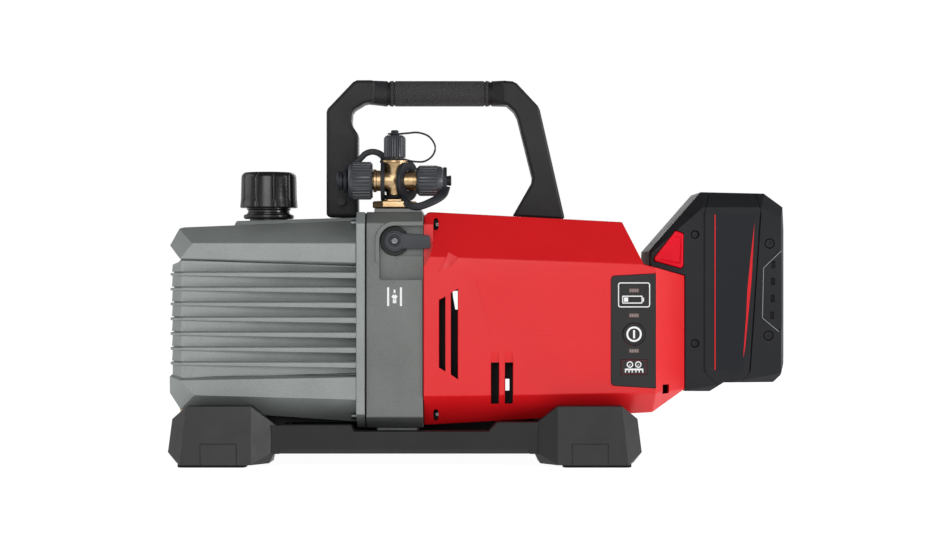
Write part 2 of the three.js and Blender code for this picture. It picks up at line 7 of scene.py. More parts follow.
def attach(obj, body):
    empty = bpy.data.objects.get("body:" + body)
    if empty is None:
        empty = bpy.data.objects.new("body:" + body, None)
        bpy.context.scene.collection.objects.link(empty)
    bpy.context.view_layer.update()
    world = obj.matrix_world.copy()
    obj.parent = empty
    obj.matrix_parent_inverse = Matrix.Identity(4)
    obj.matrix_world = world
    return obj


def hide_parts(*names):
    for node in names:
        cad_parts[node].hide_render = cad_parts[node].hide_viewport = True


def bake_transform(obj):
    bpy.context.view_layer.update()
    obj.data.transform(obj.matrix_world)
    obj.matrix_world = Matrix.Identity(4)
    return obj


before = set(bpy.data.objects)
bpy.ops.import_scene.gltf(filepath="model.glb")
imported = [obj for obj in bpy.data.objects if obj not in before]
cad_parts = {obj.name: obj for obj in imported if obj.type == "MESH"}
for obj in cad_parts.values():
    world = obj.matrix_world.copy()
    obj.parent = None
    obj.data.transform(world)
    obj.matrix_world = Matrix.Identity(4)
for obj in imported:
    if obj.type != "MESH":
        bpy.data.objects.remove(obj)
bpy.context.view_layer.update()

MM = 0.001

# ---- Camera ----
# A long lens at the pump's own height, square to its front, as for a catalogue. It stands
# 1.65 m in front of the pump's middle plane.
CAMERA_AT = (-0.0098, -1.65, 0.1298)
camera = bpy.data.objects.new("camera", bpy.data.cameras.new("camera"))
camera.data.lens = 91.34
camera.data.sensor_width = 36
camera.location = CAMERA_AT
camera.rotation_euler = (math.pi / 2, 0, 0)
bpy.context.scene.collection.objects.link(camera)
bpy.context.scene.camera = camera
bpy.context.scene.view_settings.view_transform = "Standard"


# ---- Studio ----
# A floor that glows white, bright surroundings and five soft lights. The surroundings are
# dimmer overhead, so faces that look up are the darker ones.
def linear(code):
    """An sRGB hex colour as the linear colour that a shader socket takes."""
    parts = [int(code[i:i + 2], 16) / 255 for i in (1, 3, 5)]
    return tuple(p / 12.92 if p <= 0.04045 else ((p + 0.055) / 1.055) ** 2.4 for p in parts) + (1.0,)


def wire(tree, node, values=None, links=None):
    """Sets a node's socket values and links the outputs that feed it."""
    for socket, value in (values or {}).items():
        node.inputs[socket].default_value = value
    for socket, source in (links or {}).items():
        tree.links.new(source, node.inputs[socket])
    return node


def shade(tree, kind, values=None, links=None, stops=None, **settings):
    """Adds a shader node with its settings, values and links; stops are a colour ramp's."""
    added = tree.nodes.new("ShaderNode" + kind)
    for name, value in settings.items():
        setattr(added, name, value)
    wire(tree, added, values, links)
    if stops:
        points = added.color_ramp.elements
        points[0].position, points[0].color = stops[0]
        points[1].position, points[1].color = stops[-1]
        for position, tint in stops[1:-1]:
            points.new(position).color = tint
    return added


def grey(level):
    return (level, level, level, 1.0)


world = bpy.data.worlds.new("studio")
bpy.context.scene.world = world
world.use_nodes = True
sky = world.node_tree
sky.nodes.clear()
direction = shade(sky, "TexCoord").outputs["Generated"]
height = shade(sky, "SeparateXYZ", links={"Vector": direction}).outputs["Z"]
upness = shade(sky, "MapRange", {"From Min": -1.0, "From Max": 1.0}, {"Value": height}).outputs["Result"]
surround = shade(sky, "ValToRGB", links={"Fac": upness}, stops=[(0.0, grey(0.7)), (0.5, grey(0.55)),
    (0.62, grey(0.45)), (0.8, grey(0.2)), (1.0, grey(0.14))]).outputs["Color"]
seen = shade(sky, "LightPath").outputs["Is Camera Ray"]
backdrop = shade(sky, "Mix", {"B": grey(1.0)}, {"Factor": seen, "A": surround}, data_type="RGBA")
glow = shade(sky, "Background", {"Strength": 1.0}, {"Color": backdrop.outputs["Result"]})
shade(sky, "OutputWorld", links={"Surface": glow.outputs["Background"]})

PUMP_MIDDLE = (0, 0, 0.12)
for name, place, aim, width, power in (
        ("front_softbox", (-0.3, -2.1, 0.75), PUMP_MIDDLE, 1.1, 13),
        ("right_softbox", (1.5, 0.1, 0.7), PUMP_MIDDLE, 0.8, 8),
        ("right_strip", (1.6, -1.0, 0.16), (-0.1, -0.07, 0.05), 0.55, 12),
        ("left_softbox", (-1.5, 0.1, 0.8), PUMP_MIDDLE, 1.0, 4),
        ("back_softbox", (0.3, 1.9, 0.7), PUMP_MIDDLE, 1.0, 6)):
    lamp = bpy.data.lights.new(name, "AREA")
    lamp.shape = "SQUARE"
    lamp.size = width
    lamp.energy = power
    softbox = bpy.data.objects.new(name, lamp)
    softbox.location = place
    softbox.rotation_euler = (Vector(aim) - Vector(place)).to_track_quat("-Z", "Y").to_euler()
    bpy.context.scene.collection.objects.link(softbox)


def alone(piece):
    """Selects one piece and nothing else, and makes it active."""
    bpy.ops.object.select_all(action="DESELECT")
    piece.select_set(True)
    bpy.context.view_layer.objects.active = piece


def new_material(name):
    """An empty node material: the material, its tree and its Principled shader."""
    made = bpy.data.materials.new(name)
    made.use_nodes = True
    tree = made.node_tree
    tree.nodes.clear()
    shader = shade(tree, "BsdfPrincipled")
    shade(tree, "OutputMaterial", links={"Surface": shader.outputs["BSDF"]})
    return made, tree, shader


def per_metre(size_mm):
    """The texture scale that draws a feature of this size."""
    return 1 / (size_mm * MM)


bpy.ops.mesh.primitive_plane_add(size=12)
floor = bpy.context.active_object
floor.name = "studio_floor"
paper, tree, shader = new_material("white_paper_sweep")
fibre = shade(tree, "TexNoise", {"Scale": per_metre(60), "Detail": 2.0},
    {"Vector": shade(tree, "TexCoord").outputs["Object"]})
tint = shade(tree, "ValToRGB", links={"Fac": fibre.outputs["Fac"]}, stops=[(0.0, grey(0.2)),
    (1.0, grey(0.23))]).outputs["Color"]
wire(tree, shader, {"Emission Strength": 0.96, "Emission Color": grey(1.0), "Roughness": 1.0,
    "Specular IOR Level": 0.0}, {"Base Color": tint})
floor.data.materials.append(paper)


# ---- Oil tank ----
# A gravity die casting in aluminium with a dark grey textured paint: a faceted upper and lower
# block, seven cooling fins that deepen towards the flange, and the flange bolted to the head.
def finish_edges(piece, width, segments=2, angle=25):
    """Rounds every edge sharper than angle and shades the piece as a moulding or casting."""
    alone(piece)
    if width:
        bevel = piece.modifiers.new("edges", "BEVEL")
        bevel.width = width * MM
        bevel.segments = segments
        bevel.limit_method = "ANGLE"
        bevel.angle_limit = math.radians(angle)
        bevel.miter_outer = "MITER_ARC"
        bevel.use_clamp_overlap = True
        bpy.ops.object.modifier_apply(modifier=bevel.name)
    bpy.ops.object.shade_smooth_by_angle(angle=math.radians(40))
    normals = piece.modifiers.new("normals", "WEIGHTED_NORMAL")
    normals.keep_sharp = True
    bpy.ops.object.modifier_apply(modifier=normals.name)


def new_piece(name, corners, edges=(), faces=()):
    """A mesh object from corners in millimetres."""
    mesh = bpy.data.meshes.new(name)
    mesh.from_pydata([Vector(c) * MM for c in corners], list(edges), [tuple(f) for f in faces])
    piece = bpy.data.objects.new(name, mesh)
    bpy.context.scene.collection.objects.link(piece)
    alone(piece)
    return piece


def edited(piece, *steps):
    """Runs each (operator, settings) step on the whole of one piece in edit mode."""
    alone(piece)
    bpy.ops.object.mode_set(mode="EDIT")
    for operator, settings in steps:
        bpy.ops.mesh.select_all(action="SELECT")
        operator(**settings)
    bpy.ops.object.mode_set(mode="OBJECT")
    return piece


def tidy_solid(piece, merge_mm=0.02):
    """Merges doubled corners and points every face outwards."""
    return edited(piece, (bpy.ops.mesh.remove_doubles, {"threshold": merge_mm * MM}),
        (bpy.ops.mesh.normals_make_consistent, {"inside": False}))


def hulled(name, corners):
    """The smallest convex solid around some corners."""
    return tidy_solid(edited(new_piece(name, corners), (bpy.ops.mesh.convex_hull, {}),
        (bpy.ops.mesh.dissolve_limited, {"angle_limit": math.radians(0.6)})))


ACROSS = {"X": lambda a, b, c: (c, a, b), "Y": lambda a, b, c: (a, c, b), "Z": lambda a, b, c: (a, b, c)}


def drawn(name, outline, low, high, across="Y"):
    """A flat outline extruded from low to high across it: [x, z] across Y, [y, z] across X."""
    to_space = ACROSS[across]
    piece = new_piece(name, [to_space(a, b, low) for a, b in outline], faces=[range(len(outline))])
    step = Vector(to_space(0, 0, high - low)) * MM
    return tidy_solid(edited(piece, (bpy.ops.mesh.extrude_region_move,
        {"TRANSFORM_OT_translate": {"value": step}})))


TURN_AXIS = {"X": Vector((1, 0, 0)), "Y": Vector((0, 1, 0)), "Z": Vector((0, 0, 1))}


def turned(name, profile, centre, along="Z", steps=48):
    """A profile of (radius, height) corners spun about an axis through centre."""
    place = {"X": lambda r, h: (h, r, 0), "Y": lambda r, h: (r, h, 0), "Z": lambda r, h: (r, 0, h)}[along]
    corners = [Vector(place(r, h)) + Vector(centre) for r, h in profile]
    piece = new_piece(name, corners, edges=[(i, i + 1) for i in range(len(corners) - 1)])
    return tidy_solid(edited(piece, (bpy.ops.mesh.spin, {"steps": steps, "angle": 2 * math.pi,
        "axis": TURN_AXIS[along], "center": Vector(centre) * MM})))


def rod(name, radius, low, high, centre, along="Z", steps=48):
    """A plain round bar about an axis through centre."""
    return turned(name, [(0, low), (radius, low), (radius, high), (0, high)], centre, along, steps)


def block(name, x0, x1, y0, y1, z0, z1):
    bpy.ops.mesh.primitive_cube_add(size=1)
    piece = bpy.context.active_object
    piece.name = name
    size = Matrix.Diagonal((x1 - x0, y1 - y0, z1 - z0, 1 / MM))
    middle = Vector((x0 + x1, y0 + y1, z0 + z1)) / 2
    piece.data.transform(Matrix.Translation(middle * MM) @ (size * MM))
    return piece


def combine(piece, other, how):
    """Cuts other from piece, or joins it on, and throws other away."""
    alone(piece)
    modifier = piece.modifiers.new("boolean", "BOOLEAN")
    modifier.operation = how
    modifier.solver = "EXACT"
    modifier.object = other
    bpy.ops.object.modifier_apply(modifier=modifier.name)
    bpy.data.objects.remove(other)
    return piece


def cut(piece, *tools):
    for tool in tools:
        combine(piece, tool, "DIFFERENCE")
    return piece


def fuse(piece, *others):
    for other in others:
        combine(piece, other, "UNION")
    return piece


def one_mesh(piece, *others):
    """Puts several separate bodies in one piece, without joining their surfaces."""
    bpy.ops.object.select_all(action="DESELECT")
    for each in (piece, *others):
        each.select_set(True)
    bpy.context.view_layer.objects.active = piece
    bpy.ops.object.join()
    return piece


def both_sides(corners):
    """The corners and their twins across the pump's middle plane."""
    return [*corners, *[(x, -y, z) for x, y, z in corners]]


def fit(piece, body, slot, material, *nodes):
    """Gives a piece its material and its body and hides the CAD nodes it stands for; the finish slot is not
    used.
    """
    if material:
        piece.data.materials.clear()
        piece.data.materials.append(material)
    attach(piece, body)
    if nodes:
        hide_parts(*nodes)
    return piece


def painted_casting(name, light, dark, roughness):
    """Textured paint over a die casting: soft mottling, and an orange-peel of about half a millimetre."""
    made, tree, shader = new_material(name)
    place = shade(tree, "TexCoord").outputs["Object"]
    mottle = shade(tree, "TexNoise", {"Scale": per_metre(30), "Detail": 3.0, "Roughness": 0.6},
        {"Vector": place})
    tint = shade(tree, "ValToRGB", links={"Fac": mottle.outputs["Fac"]}, stops=[(0.3, linear(dark)),
        (0.7, linear(light))]).outputs["Color"]
    flake = shade(tree, "TexNoise", {"Scale": per_metre(0.8), "Detail": 2.0}, {"Vector": place})
    fleck = shade(tree, "ValToRGB", links={"Fac": flake.outputs["Fac"]}, stops=[(0.36, grey(0.86)),
        (0.5, grey(0.98)), (0.66, grey(1.0))]).outputs["Color"]
    flecked = shade(tree, "Mix", {"Factor": 1.0}, {"A": tint, "B": fleck}, data_type="RGBA",
        blend_type="MULTIPLY")
    peel = shade(tree, "TexNoise", {"Scale": per_metre(0.9), "Detail": 3.0, "Roughness": 0.6},
        {"Vector": place})
    speck = shade(tree, "TexVoronoi", {"Scale": per_metre(0.7)}, {"Vector": place})
    relief = shade(tree, "Math", {1: 0.35}, {0: speck.outputs["Distance"], 2: peel.outputs["Fac"]},
        operation="MULTIPLY_ADD")
    bump = shade(tree, "Bump", {"Strength": 0.22, "Distance": 0.12 * MM},
        {"Height": relief.outputs["Value"]})
    gloss = shade(tree, "MapRange", {"To Min": roughness - 0.06, "To Max": roughness + 0.08},
        {"Value": mottle.outputs["Fac"]})
    wire(tree, shader, {"Metallic": 0.2}, {"Base Color": flecked.outputs["Result"],
        "Normal": bump.outputs["Normal"], "Roughness": gloss.outputs["Result"]})
    return made


grey_paint = painted_casting("grey_textured_paint", "#8f9493", "#868b8a", 0.42)

FLANGE_LEFT = -82.7
FLANGE_RIGHT = -76.9
SIDE = 65
upper_block = hulled("tank_upper_block", both_sides([
    (-192.8, SIDE, 150.4), (-201.4, SIDE, 139.9), (-209.6, 51, 148.8), (-201.5, 47, 158.9),
    (-204, 44, 160.5),
    (-201, 42, 161.3), (FLANGE_LEFT, SIDE, 150.2), (FLANGE_LEFT, SIDE, 137), (-200.6, 58, 138.8),
    (FLANGE_LEFT, 60, 135.6), (FLANGE_LEFT, 42, 166), (-209.4, 40, 150),
]))
lower_block = hulled("tank_lower_block", both_sides([
    (-201.4, SIDE, 57.9), (-191.4, SIDE, 47.9), (-209.6, 53, 60.2), (-209.6, 52, 49), (-202.6, 50, 37.6),
    (FLANGE_LEFT, SIDE, 60), (FLANGE_LEFT, SIDE, 45), (FLANGE_LEFT, 45, 29), (-198, 44, 38),
    (-201, 61, 61), (-207.4, 50, 62), (FLANGE_LEFT, 60, 61),
]))
cut(lower_block, rod("drain_recess", 5.6, -215, -199.1, (0, -28, 39.5), "X", 40))
plinth = hulled("tank_plinth", both_sides([
    (-169, 33, 160), (-166.6, 30, 165.9), (FLANGE_LEFT, 33, 160), (FLANGE_LEFT, 30, 168.3),
]))
FIN_PITCH = 10.05
LOWEST_FIN_TOP = 69.8
UNDERCUT = 3


def wall_rows(x, deep):
    """Depth and height of the finned wall at one station, from the lower block to the upper."""
    share = min(max((x + 198.5) / (FLANGE_LEFT + 198.5), 0), 1)
    thick = 1.6 + 1.8 * share
    shallow, full = 0.7 + 0.4 * deep, 0.7 + 1.15 * deep
    corner = max(0, -201.4 - x)
    low, high = 58.3 + 1.7 * share, 139.9 - 2.9 * share - 0.35 * corner
    rows = [(full + UNDERCUT, low - 3), (full + UNDERCUT, low + 0.9 + 1.2 * share),
            (full, low + 1.2 + 1.4 * share)]
    for fin in range(7):
        top = LOWEST_FIN_TOP + fin * FIN_PITCH
        rows += [(full, top - thick - 0.5), (0.1, top - thick), (0, top - thick + 0.3), (0, top - 0.3),
                 (0.1, top)]
        reach = FIN_PITCH - thick if fin < 6 else high - 1.5 - 0.7 * share - top
        rows += [(shallow + 1.5, top + 0.1), (shallow + 1.5, top + 0.8)]
        rows += [(shallow + (full - shallow) * step ** 0.7, top + 1 + (reach - 1.9) * step)
                 for step in (0, 0.25, 0.5, 0.75, 1)]
    edge = high - 1.5 - 0.7 * share
    return rows + [(full, edge), (full + UNDERCUT, edge + 0.2), (full + UNDERCUT, max(high + 2.2 - corner,
        edge + 0.5))]


def finned_wall():
    """The wall between the blocks, swept round the front, the end and the rear of the tank."""
    front = [(FLANGE_LEFT, -SIDE, 7.6), (-120, -SIDE, 5.2), (-160, -SIDE, 3), (-198.5, -SIDE, 1),
             (-201.2, -SIDE + 0.5, 0.7), (-203.4, -SIDE + 3.6, 0.6), (-208.2, -54.4, 0.6),
             (-209.1, -52, 0.6)]
    route = front + [(x, -y, deep) for x, y, deep in reversed(front)]
    corners, rows = [], 0
    for i, (x, y, deep) in enumerate(route):
        before, after = Vector(route[max(i - 1, 0)][:2]), Vector(route[min(i + 1, len(route) - 1)][:2])
        run = (after - before).normalized()
        inward = Vector((-run.y, run.x)) if i not in (0, len(route) - 1) else Vector((0,
            -math.copysign(1, y)))
        if inward.dot(Vector((-150, 0)) - Vector((x, y))) < 0:
            inward = -inward
        station = wall_rows(x, deep)
        rows = len(station)
        corners += [(x + inward.x * depth, y + inward.y * depth, z) for depth, z in station]
    faces = [(i * rows + j, (i + 1) * rows + j, (i + 1) * rows + j + 1, i * rows + j + 1)
             for i in range(len(route) - 1) for j in range(rows - 1)]
    faces += [[i * rows for i in range(len(route))],
              [i * rows + rows - 1 for i in reversed(range(len(route)))],
              [*range(rows), *[(len(route) - 1) * rows + j for j in reversed(range(rows))]]]
    made = new_piece("tank_finned_wall", corners, faces=faces)
    tidy_solid(made, 0.005)
    return made


wall = finned_wall()
flange = drawn("tank_flange", [
    (-45, 25), (45, 25), (65.8, 35), (65.8, 163.5), (57, 171.4), (-57, 171.4), (-65.8, 163.5), (-65.8, 35),
], FLANGE_LEFT, FLANGE_RIGHT, "X")
for solid, width in ((upper_block, 0.7), (lower_block, 0.7), (plinth, 0.9), (flange, 0.6)):
    finish_edges(solid, width)
cut(wall, rod("sight_seat", 17.4, -215, -204, (0, 0, 88), "X", 56))
finish_edges(wall, 0.15, 2, 50)
sight_boss = turned("sight_boss", [(17.3, -209.2), (18.2, -209.2), (19, -208.4), (19, -200), (17.3, -200),
    (17.3, -209.2)], (0, 0, 88), "X")
finish_edges(sight_boss, 0)
tank = one_mesh(upper_block, lower_block, plinth, wall, flange, sight_boss)
tank.name = "tank_casting"
fit(tank, "root", "cast_aluminium", grey_paint, "oil_tank")


def cad_copy(node, name):
    """A copy of a CAD node's shape, its loose triangles merged into flat faces."""
    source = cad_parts[node]
    piece = bpy.data.objects.new(name, source.data.copy())
    bpy.context.scene.collection.objects.link(piece)
    return edited(piece, (bpy.ops.mesh.customdata_custom_splitnormals_clear, {}),
        (bpy.ops.mesh.remove_doubles, {"threshold": 0.01 * MM}), (bpy.ops.mesh.dissolve_limited,
        {"angle_limit": math.radians(0.5)}), (bpy.ops.mesh.normals_make_consistent, {"inside": False}))


def cap_screw(name, centre, radius, along, length, sign=1):
    """A socket-head screw: a rounded head with a hexagon pocket, its face at centre."""
    head = turned(name, [(0, 0), (radius - 0.4, 0), (radius, -0.4 * sign), (radius, -length * sign),
        (0, -length * sign)], centre, along, 28)
    bpy.ops.mesh.primitive_cylinder_add(vertices=6, radius=radius * 0.5 * MM, depth=2.4 * MM,
        location=Vector(centre) * MM)
    pocket = bpy.context.active_object
    turn = {"X": Matrix.Rotation(math.pi / 2, 4, "Y"), "Y": Matrix.Rotation(math.pi / 2, 4, "X"),
            "Z": Matrix.Identity(4)}[along]
    spot = Matrix.Translation(Vector(centre) * MM)
    pocket.matrix_world = Matrix.Identity(4)
    pocket.data.transform(spot @ turn)
    cut(head, pocket)
    finish_edges(head, 0)
    return head


def plated(name, dark, light, roughness):
    """Plated steel: a bare metal shine with a faint cloudy smear from handling."""
    made, tree, shader = new_material(name)
    place = shade(tree, "TexCoord").outputs["Object"]
    smear = shade(tree, "TexNoise", {"Scale": per_metre(3), "Detail": 4.0}, {"Vector": place})
    tint = shade(tree, "ValToRGB", links={"Fac": smear.outputs["Fac"]}, stops=[(0.3, linear(dark)),
        (0.7, linear(light))])
    wire(tree, shader, {"Metallic": 1.0, "Roughness": roughness}, {"Base Color": tint.outputs["Color"]})
    return made


zinc_plate = plated("zinc_plated_steel", "#a9abac", "#d2d3d4", 0.28)
dark_zinc = plated("passivated_dark_zinc", "#55575a", "#7b7d80", 0.36)

flange_screws = [cap_screw("tank_screw", (-86.4, y, z), 1.9, "X", 3.8, -1) for y, z in ((-57.5, 164.2),
    (57.5, 164.2), (-56, 33.4), (56, 33.4))]
tank_screws = one_mesh(*flange_screws)
fit(tank_screws, "root", "steel", dark_zinc)

# ---- Feet ----
# Four chunky glass-filled nylon mouldings that take the pump's weight, each with a
# soft rubber pad let into its sole and a raised strap panel low on its outer face.
def moulded_plastic(name, light, dark, roughness, grain_mm=0.5, depth=0.05, shine=0.3):
    """Spark-textured moulding: an even colour with a fine matt grain and slightly worn gloss."""
    made, tree, shader = new_material(name)
    place = shade(tree, "TexCoord").outputs["Object"]
    drift = shade(tree, "TexNoise", {"Scale": per_metre(40), "Detail": 4.0}, {"Vector": place})
    tint = shade(tree, "ValToRGB", links={"Fac": drift.outputs["Fac"]}, stops=[(0.3, linear(dark)),
        (0.7, linear(light))])
    grain = shade(tree, "TexNoise", {"Scale": per_metre(grain_mm), "Detail": 2.0}, {"Vector": place})
    bump = shade(tree, "Bump", {"Strength": 0.3, "Distance": depth * MM}, {"Height": grain.outputs["Fac"]})
    rub = shade(tree, "TexNoise", {"Scale": per_metre(18), "Detail": 5.0, "Roughness": 0.7},
                {"Vector": place})
    gloss = shade(tree, "MapRange", {"From Min": 0.3, "From Max": 0.7, "To Min": roughness - 0.05,
        "To Max": roughness + 0.07}, {"Value": rub.outputs["Fac"]})
    wire(tree, shader, {"Specular IOR Level": shine}, {"Base Color": tint.outputs["Color"],
        "Normal": bump.outputs["Normal"], "Roughness": gloss.outputs["Result"]})
    return made


black_nylon = moulded_plastic("black_glass_filled_nylon", "#1b1b1d", "#171719", 0.46, shine=0.45)
# The same black nylon as the feet in a second tone, set for how light falls on the rails and the lever
# skirt: painted light and shade.
nylon_toned_for_light = moulded_plastic("black_nylon_copy_toned_for_light", "#202022", "#1b1b1d", 0.5)
pad_rubber = moulded_plastic("pad_nitrile_rubber", "#161617", "#111112", 0.85)


def groove(name, path, width, depth, face):
    """A square groove along a path of [x, z], in the forward face whose y is face(x, z)."""
    runs = []
    for start, end in zip(path, path[1:]):
        run = (Vector(end) - Vector(start)).normalized() * width / 2
        side = Vector((-run.y, run.x))
        corners = []
        for spot in (Vector(start) - run + side, Vector(start) - run - side, Vector(end) + run + side,
                Vector(end) + run - side):
            corners += [(spot.x, face(*spot) - 1.5, spot.y), (spot.x, face(*spot) + depth, spot.y)]
        runs.append(hulled(name, corners))
    return fuse(*runs)


def foot_face(x, z):
    return -80 + 3 * (z - 2) / 39


foot = hulled("foot", [
    (-199.6, -80, 2), (-195.5, -77, 41), (-152.4, -77, 41), (-152.4, -80, 2), (-136.4, -68, 28),
    (-136.4, -68, 11), (-141, -68, 2.4), (-209.7, -62, 9.5), (-207, -60, 31.7), (-204, -62, 2.4),
    (-195.5, -60, 41), (-152.4, -60, 41), (-203, -40, 26), (-203, -40, 2.4), (-140, -40, 26),
    (-140, -40, 2.4),
])
cut(foot, groove("strap_panel", [(-186, 1), (-186, 16), (-162, 16), (-162, 1)], 0.5, 0.35, foot_face))
pad = drawn("foot_pad", [(-200, -75), (-158, -75), (-156, -72), (-156, -47), (-158, -44), (-200, -44),
    (-202, -47), (-202, -72)], 0, 2.6, "Z")
MIRROR_Y = Matrix.Scale(-1, 4, (0, 1, 0))
TO_RIGHT = Matrix.Translation((-100 * MM, 0, 0)) @ Matrix.Scale(-1, 4, (1, 0, 0))


def twin(piece, name, mirror):
    """A mirrored copy with a mesh of its own."""
    other = bpy.data.objects.new(name, piece.data.copy())
    bpy.context.scene.collection.objects.link(other)
    other.data.transform(mirror)
    tidy_solid(other, 0.001)
    return other


for corner, mirror in (("front_left", Matrix.Identity(4)), ("rear_left", MIRROR_Y),
        ("front_right", TO_RIGHT), ("rear_right", TO_RIGHT @ MIRROR_Y)):
    one = twin(foot, f"foot_{corner}_moulding", mirror)
    finish_edges(one, 0.9, 3)
    fit(one, "root", "black_plastic", black_nylon, f"foot_{corner}")
    sole = twin(pad, f"foot_{corner}_pad", mirror)
    finish_edges(sole, 0.4)
    fit(sole, "root", "grip_rubber", pad_rubber)
bpy.data.objects.remove(foot)
bpy.data.objects.remove(pad)

# ---- Base rails and tray ----
# One nylon moulding: a rail along each side between the feet, and the drip tray
# that the tank and the motor stand on.
rails = cad_copy("base_frame", "base_rails")
for side in (-1, 1):
    cut(rails, drawn("rail_chamfer", [(side * 72, 7), (side * 72, 12.4), (side * 70.7, 12.4),
        (side * 67.2, 8.7), (side * 67.2, 7)], -134, 34, "X"))
finish_edges(rails, 0.6)
cradle = one_mesh(
    hulled("cradle_left", [(x, y, z) for y in (-30, 30) for x, z in ((-185, 15), (-185, 36.4), (-133, 15),
                                                                     (-133, 32.8))]),
    hulled("cradle_right", [(x, y, z) for y in (-30, 30) for x, z in ((-133, 27.6), (-133, 32.8),
                                                                      (-90, 27.6), (-90, 29.2))]))
rails = one_mesh(rails, cradle)
rails.name = "base_rails"
fit(rails, "root", "black_plastic", nylon_toned_for_light, "base_frame")

# ---- Pump head casting ----
# The centre casting between tank and motor, painted like the tank. It has a pocket
# for the isolation lever with a raised lip round it, and a pad on top for the inlet.
HEAD_LEFT, HEAD_RIGHT, HEAD_FACE = -76.2, -37.7, -63
head = hulled("pump_head", both_sides([
    (x, y, z) for x in (HEAD_LEFT, HEAD_RIGHT) for y, z in ((48, 25), (63, 33), (63, 163.8), (55.5, 170),
                                                            (50, 171.6))
]))
top_pad = drawn("top_pad", [(-71, -50), (-39, -50), (-39, 50), (-71, 50)], 160, 174, "Z")
foot_pad = block("foot_pad", -69, -42, -46, 46, 23, 40)
HUB = Vector((-56.9, 151.8))


def arc(centre, radius, start, end, steps=10):
    """Corners along an arc, its angles in degrees from the first axis towards the second."""
    turns = [math.radians(start + (end - start) * i / steps) for i in range(steps + 1)]
    return [(centre[0] + radius * math.cos(t), centre[1] + radius * math.sin(t)) for t in turns]


finish_edges(head, 0.8, 3)
finish_edges(top_pad, 0.8)
lip = drawn("lever_lip", [*arc(HUB, 13.2, 90, 180), (HUB.x - 13.2, 138), (HUB.x - 9, 134.5),
    (HUB.x - 4, 134.5), (HUB.x - 4, 150), (HEAD_RIGHT, 150), (HEAD_RIGHT, HUB.y + 13.2)], HEAD_FACE - 1.1,
    HEAD_FACE + 4)
finish_edges(lip, 0.5, 3)
fuse(head, top_pad, foot_pad, lip)
cut(head,
    drawn("lever_pocket", [*arc(HUB, 10.3, 90, 180), (HUB.x - 10.3, 126.8), (HUB.x - 9, 125.4),
                           (-35, 125.4),
                           (-35, HUB.y + 10.3)], -72, -57.4),
    drawn("lever_well", [*arc(HUB, 10.2, 90, 270), (-35, HUB.y - 10.2), (-35, HUB.y + 10.2)], -72, -55.7),
    drawn("valve_bore", arc(HUB, 8.2, 0, 360, 40)[:-1], -60, -22),
    rod("inlet_bore", 6.2, 150, 180, (-57.6, -34, 0)),
    rod("shaft_bore", 9.5, -82, -30, (0, 0, 98), "X"),
    block("coupling_room", -60, -30, -20, 48, 45, 140))
finish_edges(head, 0.25, 2, 60)
stop_pin = turned("lever_stop", [(0, -57.85), (0.9, -57.85), (1.2, -57.6), (1.2, -56), (0, -56)],
    (-55.4, 0, 140.6), "Y", 16)
head = one_mesh(head, stop_pin)
head.name = "pump_head_casting"
# The head's paint is the tank's grey paint made darker: painted shade, for the head's darker look in the
# same light.
head_shaded_paint = painted_casting("grey_paint_darkened_for_shade", "#6f7270", "#646765", 0.44)
fit(head, "root", "cast_aluminium", head_shaded_paint, "pump_casting")
joint_seal = block("joint_seal", -37.69, -37.41, 50, 62, 40, 165)
fit(joint_seal, "root", "seal_rubber", pad_rubber)


def flat_colour(name, colour, roughness=0.5):
    """Screen-printed ink: one even colour with a faint unevenness in its gloss."""
    made, tree, shader = new_material(name)
    place = shade(tree, "TexCoord").outputs["Object"]
    coat = shade(tree, "TexNoise", {"Scale": per_metre(4), "Detail": 2.0}, {"Vector": place})
    gloss = shade(tree, "MapRange", {"To Min": roughness - 0.08, "To Max": roughness + 0.08},
        {"Value": coat.outputs["Fac"]})
    wire(tree, shader, {"Base Color": linear(colour), "Specular IOR Level": 0.25},
         {"Roughness": gloss.outputs["Result"]})
    return made


white_ink = flat_colour("white_screen_ink", "#e9eaea")
INK = 0.06
face = HEAD_FACE
valve_mark = one_mesh(*[drawn("valve_mark", outline, face - INK, face + 0.1) for outline in (
    [(-61.9, 107.9), (-60.5, 107.9), (-60.5, 120.5), (-61.9, 120.5)],
    [(-53.3, 107.9), (-51.9, 107.9), (-51.9, 120.5), (-53.3, 120.5)],
    [(-59, 114.2), (-56.9, 111.8), (-54.8, 114.2), (-56.9, 116.8)],
    [(-57.5, 115.4), (-56.3, 115.4), (-56.3, 119), (-57.5, 119)],
    [(-58.1, 109.8), (-55.7, 109.8), (-55.7, 112.6), (-58.1, 112.6)],
)])
fit(valve_mark, "root", "cast_aluminium", white_ink)

# ---- Isolation lever ----
# A glass-filled lever on a square plug shaft, held by one recessed steel screw; it
# turns a quarter turn down to close the inlet.
slate_plastic = moulded_plastic("slate_nylon", "#3a3c41", "#34363b", 0.42)
arm = drawn("lever_arm", [*arc(HUB, 7.2, 46, 314, 24), (HUB.x + 9, 146.4), (HUB.x + 22.9, 146.5),
    (HUB.x + 24, 147.6), (HUB.x + 24, 154.6), (HUB.x + 22.9, 155.6), (HUB.x + 9, 156.8)], -62.3, -58)
finish_edges(arm, 0.6, 3)
